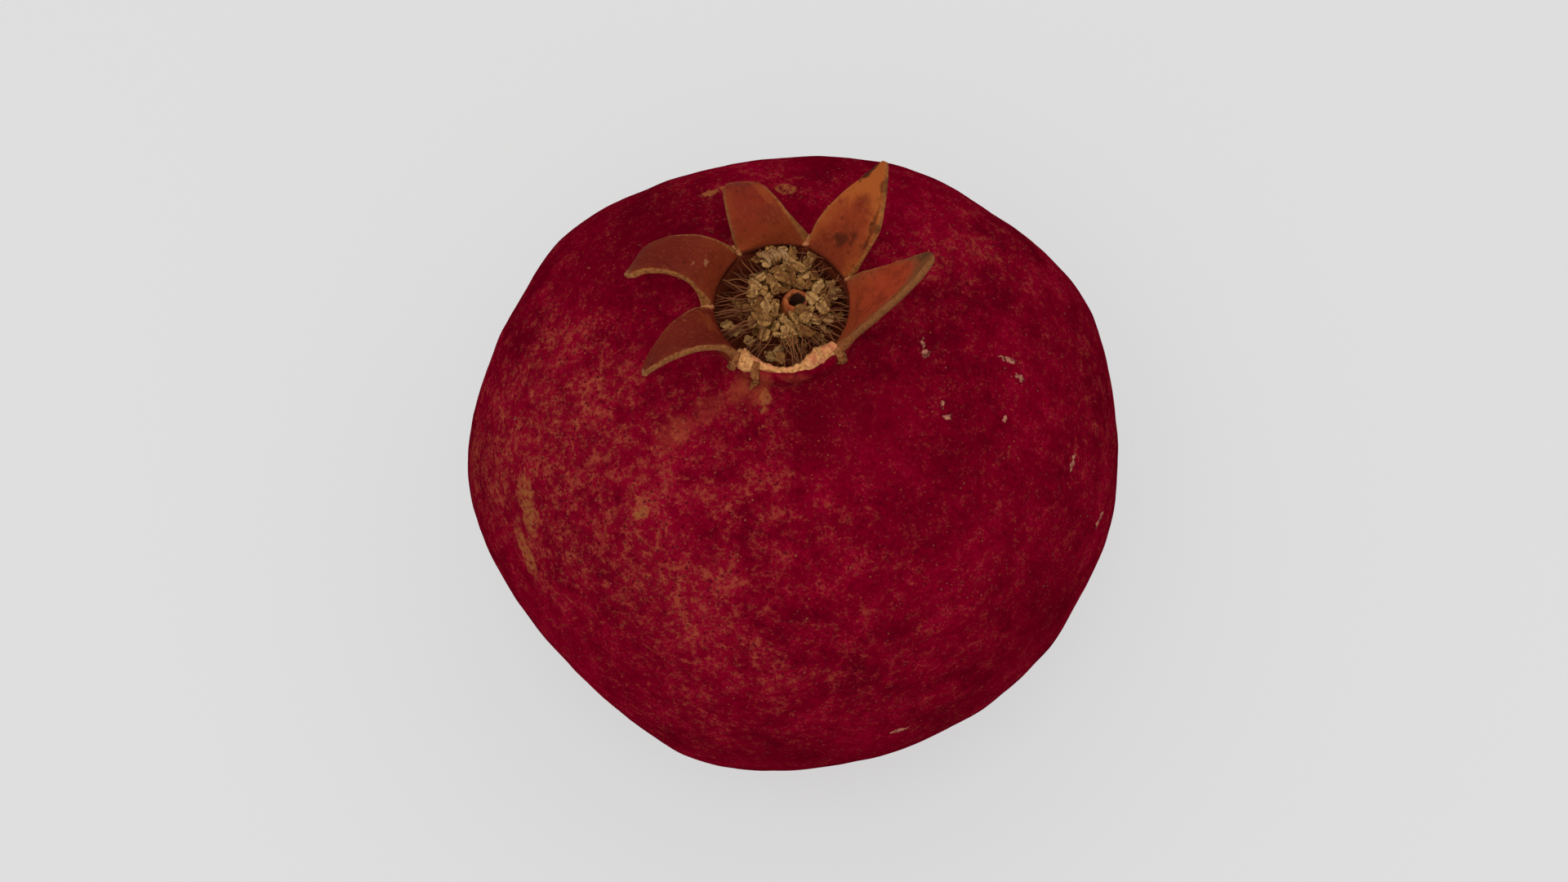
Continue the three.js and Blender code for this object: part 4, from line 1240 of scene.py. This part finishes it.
def thread_line(start, end, sag):
    """Points along a bowed thread from the wall to its free end."""
    start, end = np.array(start), np.array(end)
    middle = (start * 0.45 + end * 0.55) + np.array([0, 0, sag])
    t = np.linspace(0, 1, THREAD_STEPS)[:, None]
    sway = np.cross(end - start, (0, 0, 1)) * 0.035 * np.sin(t * 8 + sag * 9) * t * (1 - t) * 4
    return (1 - t) ** 2 * start + 2 * t * (1 - t) * middle + t * t * end + sway


def stamen_lines():
    """Lines from the wall to the anthers, and the turn, size and tone of each anther."""
    rng = random.Random(21)
    lines, ends = [], []
    for x, y, z in anther_places(rng):
        azimuth = math.atan2(y, x) + rng.gauss(0, 0.22)
        root_z = min(z - rng.uniform(0.2, 2.4), RIM_Z - 0.55)
        root = (TUBE_INNER * math.cos(azimuth), TUBE_INNER * math.sin(azimuth), root_z)
        lines.append(thread_line(root, (x, y, z - 0.25), rng.uniform(-0.5, 1.6)))
        ends.append(((rng.gauss(0, 0.5), rng.gauss(0, 0.45), rng.uniform(0, 6.3)),
                     rng.uniform(0.68, 1.08), rng.random()))
    for _ in range(BARE_THREADS):
        azimuth, reach = rng.uniform(0, 2 * math.pi), rng.uniform(1.5, 5.5)
        top = RIM_Z - rng.uniform(1.2, 4.5)
        root_z = min(top - rng.uniform(-1.2, 1.6), RIM_Z - 0.55)
        root = (TUBE_INNER * math.cos(azimuth), TUBE_INNER * math.sin(azimuth), root_z)
        turn = azimuth + rng.gauss(0, 0.35)
        end = (reach * math.cos(turn) + 0.6, reach * math.sin(turn) + 0.5, top)
        lines.append(thread_line(root, end, rng.uniform(-0.6, 1.8)))
        ends.append(((0, 0, 0), 0.0, rng.random()))
    return lines, ends


lines, ends = stamen_lines()
print(len(lines) - BARE_THREADS, "threads with an anther and", BARE_THREADS, "bare ones")

# %% A bean, and the bare lines


def bean_object():
    """An anther of two lobes with a furrow between them; the furrow is marked for painted shade and
    the lobe tops for a painted highlight.
    """
    sides, rings = 14, 9
    turn = np.linspace(0, 2 * np.pi, sides, endpoint=False)
    points = [(-1, 0, 0)]
    for along in np.linspace(-1, 1, rings + 2)[1:-1]:
        reach = math.sqrt(1 - along ** 2) ** 0.8
        points += [(along, reach * math.cos(a), reach * math.sin(a)) for a in turn]
    points = np.array(points + [(1, 0, 0)])
    furrow = np.exp(-(points[:, 1] / 0.26) ** 2) * np.clip(points[:, 2] + 0.25, 0, 1)
    shape = points.copy()
    shape[:, 2] -= 0.85 * furrow
    shape[:, 1] *= 1 + 0.25 * (1 - np.abs(points[:, 0]) ** 2)
    shape[:, 2] += 0.75 * points[:, 0] ** 2 - 0.3 * points[:, 1] ** 2
    faces = []
    for j in range(sides):
        k = (j + 1) % sides
        faces += [(0, 1 + k, 1 + j)]
        for i in range(rings - 1):
            a, b = 1 + i * sides + j, 1 + i * sides + k
            faces.append((a, b, b + sides, a + sides))
        last = 1 + (rings - 1) * sides
        faces.append((last + j, last + k, len(points) - 1))
    mesh = bpy.data.meshes.new("anther_form")
    mesh.from_pydata((shape * ANTHER_HALF * MM).tolist(), [], faces)
    # the tops of both lobes, marked to be painted pale as a highlight
    lobe_top_highlight = np.exp(-((np.abs(points[:, 1]) - 0.42) / 0.16) ** 2) * (points[:, 2] > 0)
    for name, values in (("furrow", furrow), ("lobe_top_highlight", lobe_top_highlight), ("anther", np.ones(len(points)))):
        store(mesh, name, values)
    return linked("anther_form", mesh)


def lines_object(lines, ends):
    points, edges, turns, sizes, tones = [], [], [], [], []
    for line, (turn, size, tone) in zip(lines, ends):
        first = len(points)
        points += [tuple((p + np.array(CROWN)) * MM) for p in line]
        edges += [(first + i, first + i + 1) for i in range(len(line) - 1)]
        turns += [turn] * len(line)
        # only the free end carries an anther
        sizes += [0.0] * (len(line) - 1) + [size]
        tones += [tone] * len(line)
    mesh = bpy.data.meshes.new("stamen_lines")
    mesh.from_pydata(points, edges, [])
    mesh.attributes.new("turn", "FLOAT_VECTOR", "POINT").data.foreach_set(
        "vector", np.array(turns).ravel())
    store(mesh, "size", sizes)
    store(mesh, "tone", tones)
    return linked("stamen_lines", mesh)


bean = bean_object()
print("a bean has", len(bean.data.polygons), "faces")

# %% The stamen tree and its finish
FOLD_SCALE = 1800.0    # of the noise that crumples an anther


def stamen_tree():
    tree, given, result = new_group("stamens_on_lines", [
        ("Geometry", "NodeSocketGeometry"), ("Anther", "NodeSocketObject"),
        ("Thread radius", "NodeSocketFloat"), ("Crumple", "NodeSocketFloat"),
        ("Material", "NodeSocketMaterial"),
    ])
    values = {s.name: Value(tree, s) for s in given.outputs}

    def named(name, kind="FLOAT"):
        return add(tree, "GeometryNodeInputNamedAttribute", {"Name": name}, data_type=kind)

    curves = add(tree, "GeometryNodeMeshToCurve", {"Mesh": values["Geometry"]})
    ring = add(tree, "GeometryNodeCurvePrimitiveCircle",
               {"Resolution": 6, "Radius": values["Thread radius"]})
    threads = add(tree, "GeometryNodeCurveToMesh",
                  {"Curve": curves, "Profile Curve": ring, "Fill Caps": True})
    free_end = named("size").math("GREATER_THAN", 0.01)
    bean = add(tree, "GeometryNodeObjectInfo", {"Object": values["Anther"]}, 4)
    size = add(tree, "ShaderNodeCombineXYZ", {0: named("size"), 1: named("size"), 2: named("size")})
    rotation = add(tree, "FunctionNodeEulerToRotation", {"Euler": named("turn", "FLOAT_VECTOR")})
    beans = add(tree, "GeometryNodeInstanceOnPoints", {
        "Points": values["Geometry"], "Selection": free_end, "Instance": bean,
        "Rotation": rotation, "Scale": size,
    })
    beans = add(tree, "GeometryNodeRealizeInstances", {"Geometry": beans})
    position = add(tree, "GeometryNodeInputPosition")
    folds = add(tree, "ShaderNodeTexNoise",
                {"Vector": position, "Scale": FOLD_SCALE, "Detail": 2.0}, 1)
    folds = folds.vector("SUBTRACT", (0.5, 0.5, 0.5)).scaled(values["Crumple"])
    beans = moved(tree, beans, folds)
    joined = tree.nodes.new("GeometryNodeJoinGeometry")
    for part in (beans, threads):
        tree.links.new(part.socket, joined.inputs[0])
    whole = add(tree, "GeometryNodeRealizeInstances", {"Geometry": Value(tree, joined.outputs[0])})
    whole = add(tree, "GeometryNodeSetShadeSmooth", {"Geometry": whole})
    whole = add(tree, "GeometryNodeSetMaterial",
                {"Geometry": whole, "Material": values["Material"]})
    tree.links.new(whole.socket, result.inputs[0])
    return tree


def stamen_material():
    material, tree, shader, place = new_material("dry_stamens")
    fine = noise(tree, place, 0.35, 3.0, 0.6)
    tone = attribute(tree, "tone") * 0.6 + fine * 0.4
    bean = mixed(tree, tone.ramp(0.2, 0.8), colour(114, 72, 33), colour(168, 122, 66))
    bean = mixed(tree, (tone + fine).ramp(1.05, 1.4) * 0.5, bean, colour(176, 140, 96))
    furrow = attribute(tree, "furrow").ramp(0.15, 0.7)
    lobe_top_highlight = attribute(tree, "lobe_top_highlight").ramp(0.5, 0.95)
    # painted shade darkens the furrow, and a painted highlight lightens the tops of the lobes
    bean = mixed(tree, furrow * 0.65, bean, colour(84, 44, 20))
    bean = mixed(tree, lobe_top_highlight * 0.6, bean, colour(208, 156, 96))
    bean = mixed(tree, fine.ramp(0.32, 0.46).flipped() * 0.5, bean, colour(84, 44, 20))
    thread = mixed(tree, tone.ramp(0.3, 0.7), colour(92, 42, 25), colour(130, 80, 47))
    skin = mixed(tree, attribute(tree, "anther"), thread, bean)
    finish(tree, shader, skin, 0.75, 0.12, fine, 0.06)
    return material


stamens = plain_piece("stamens", lines_object(lines, ends), stamen_tree(), **{
    "Anther": bean, "Thread radius": 0.065 * MM, "Crumple": 1.05 * MM,
    "Material": stamen_material(),
})
bpy.data.objects.remove(bean)
place_piece(stamens, "stamen", *[f"stamen_{i:02d}" for i in range(1, 45)])
print("stamens:", len(lines), "threads,", len(stamens.data.polygons), "faces")

# %% [markdown]
# ## Withered remnant
# At the back of the cup a scrap of withered petal is caught between the anthers and the rim. It
# is one small sheet, crumpled by waves of two sizes and given a thin body.

# %% Withered remnant


def remnant_piece():
    u, v = np.meshgrid(np.linspace(-1, 1, 40), np.linspace(0, 1, 22))
    folds = ripple(u * 1.6, v * 1.2, 8) + 0.4 * ripple(u * 4, v * 3, 3)
    azimuth = np.radians(96 + 13 * u + 3 * np.sin(v * 5))
    radius = 7.55 - 1.9 * v + 0.3 * folds
    z = RIM_Z - 0.5 + 0.95 * np.sin(v * 2.2) + 0.28 * np.roll(folds, 3, 1) - 0.4 * u * u
    middle = np.stack([radius * np.cos(azimuth), radius * np.sin(azimuth), z], -1)
    along, across = np.gradient(middle, axis=0), np.gradient(middle, axis=1)
    normal = np.cross(across, along)
    normal /= np.linalg.norm(normal, axis=-1, keepdims=True)
    half = 0.09 * np.sqrt(np.maximum((1 - u ** 8) * (1 - (2 * v - 1) ** 8), 0.05))[..., None]
    uv = np.stack([u / 2 + 0.5, v], -1)
    return closed_sheet("withered_remnant", middle + normal * half, middle - normal * half, uv,
                        remnant_material())


def remnant_material():
    material, tree, shader, place = new_material("withered_grey")
    fine, clouds = noise(tree, place, 0.4, 3.0, 0.65), noise(tree, place, 1.2, 3.0)
    skin = mixed(tree, clouds.ramp(0.35, 0.62), colour(140, 98, 60), colour(178, 140, 98))
    skin = mixed(tree, fine.ramp(0.34, 0.5).flipped() * 0.5, skin, colour(74, 46, 28))
    finish(tree, shader, skin, 0.8, 0.05, fine, 0.08)
    return material


remnant = remnant_piece()
place_piece(remnant, "stamen")
print("remnant:", len(remnant.data.polygons), "faces")

# %% [markdown]
# ## Stem stub
# The fruit hung from a woody stem that was cut off. A short stub of it is left in the hollow
# underneath, out of sight while the fruit stands. Like the style it is rolled from an outline:
# a rough cut face with a sunken pith, an uneven side, and a top that is sunk into the fruit.

# %% Stem stub
STUB_RADIUS = 3.2
STUB_HEIGHT = 2.2
STUB_SIDES = 64
STUB_FACE_Z = DIMPLE_DEPTH - SEAT_GAP - STUB_HEIGHT
# Radius and height above the cut face
STUB_OUTLINE = [(0.02, 0.6), (0.35, 0.55), (0.6, 0.3), (1.2, 0.16), (1.8, 0.2), (2.4, 0.03),
                (2.75, 0.16), (2.92, 0.5), (2.98, 1.2), (STUB_RADIUS, STUB_HEIGHT),
                (STUB_RADIUS, STUB_HEIGHT + SEAT_GAP + 0.05), (0.02, STUB_HEIGHT + SEAT_GAP + 0.05)]
STUB_RINGS = 56
RING_WIDTH = 0.55      # of the growth rings


def stub_mesh():
    turn = np.linspace(0, 2 * np.pi, STUB_SIDES, endpoint=False)
    rings = []
    for radius, rise in zip(*finer(STUB_OUTLINE, STUB_RINGS)):
        uneven = 1 + 0.05 * np.sin(3 * turn + 0.6) + 0.012 * ripple(turn * 2, rise * 0.3, 2)
        rough = 0.07 * ripple(radius + np.cos(turn) * 2, np.sin(turn) * 2, 5) * (rise < 0.7)
        rings.append(np.stack([radius * uneven * np.cos(turn), radius * uneven * np.sin(turn),
                               STUB_FACE_Z + rise + rough], -1))
    faces = [face[::-1] for face in tube_faces(STUB_RINGS, STUB_SIDES)]
    return np.array(rings).reshape(-1, 3), faces


def stub_material():
    material, tree, shader, place = new_material("cut_wood")
    fine, clouds = noise(tree, place, 0.4, 3.0, 0.65), noise(tree, place, 1.5, 3.0)
    skin = mixed(tree, clouds.ramp(0.35, 0.65), colour(108, 76, 50), colour(150, 114, 76))
    # growth rings on the cut face
    ring = (place.from_axis(SHIFT * MM) / (RING_WIDTH * MM) + clouds * 1.5).math("FRACT")
    skin = mixed(tree, ring.ramp(0.6, 0.95) * 0.4, skin, colour(84, 54, 34))
    skin = mixed(tree, fine.ramp(0.36, 0.5).flipped() * 0.5, skin, colour(66, 42, 28))
    finish(tree, shader, skin, 0.85, 0.08, fine, 0.1)
    return material


points, faces = stub_mesh()
stub = mesh_piece("stem_stub_wood", points + np.array(SHIFT), faces, stub_material())
place_piece(stub, "stem", "stem_stub")
print("stem stub:", len(stub.data.polygons), "faces")

# %% [markdown]
# ## Floor, light and camera
# The fruit stands on a plain pale floor under one large soft lamp, a little to the left and in
# front, with a pale sky that is brighter overhead. The camera looks down steeply, into the
# crown. The floor glows a little, like a light table, so that it stays even round the fruit.

# %% Floor, light and camera
FLOOR_HALF = 2500.0
FLOOR_GREY, FLOOR_GLOW = 0.25, 0.482
SKY_LOW, SKY_HIGH = 0.42, 0.84
VIEW_ELEVATION, VIEW_DISTANCE, LENS = 69, 235.0, 38.0
LOOK_AT = Vector((-0.8, 0.45, 42.0))
LAMP_FROM, LAMP_DISTANCE = Vector((-0.1, -0.35, 0.93)), 900.0
LAMP_SIZE, LAMP_POWER = 0.7, 2.95          # metres, watts

floor_material, tree, shader, place = new_material("pale_floor")
shader.inputs["Base Color"].default_value = (FLOOR_GREY, FLOOR_GREY, FLOOR_GREY, 1.0)
shader.inputs["Emission Color"].default_value = (1.0, 1.0, 1.0, 1.0)
shader.inputs["Emission Strength"].default_value = FLOOR_GLOW
shader.inputs["Roughness"].default_value = 0.9
shader.inputs["Specular IOR Level"].default_value = 0.0
signs = ((-1, -1), (1, -1), (1, 1), (-1, 1))
floor_corners = [(x * FLOOR_HALF, y * FLOOR_HALF, 0) for x, y in signs]
floor = mesh_piece("floor", floor_corners, [(0, 1, 2, 3)], floor_material)

world = bpy.data.worlds.new("studio")
world.use_nodes = True
sky = world.node_tree
overhead = add(sky, "ShaderNodeTexCoord", output=0).part(2)
background = sky.nodes["Background"]
background.inputs["Color"].default_value = (1, 1, 1, 1)
plug(sky, background.inputs["Strength"], overhead.ramp(-0.1, 0.9, SKY_LOW, SKY_HIGH))
bpy.context.scene.world = world
bpy.context.scene.view_settings.view_transform = "Standard"


def aim(name, data, toward, distance):
    """A camera or a lamp that looks at the fruit from a direction."""
    thing = linked(name, data)
    thing.location = (LOOK_AT + toward * distance) * MM
    thing.rotation_euler = toward.to_track_quat("Z", "Y").to_euler()
    return thing


camera_data = bpy.data.cameras.new("camera")
camera_data.lens, camera_data.sensor_width = LENS, 36.0
camera_data.clip_start = 0.005
camera = aim("camera", camera_data, direction(-90, VIEW_ELEVATION), VIEW_DISTANCE)
bpy.context.scene.camera = camera

lamp_data = bpy.data.lights.new("soft_box", "AREA")
lamp_data.shape, lamp_data.size = "DISK", LAMP_SIZE
lamp_data.energy = LAMP_POWER
aim("soft_box", lamp_data, LAMP_FROM.normalized(), LAMP_DISTANCE)
print("camera at", [round(c, 3) for c in camera.location])
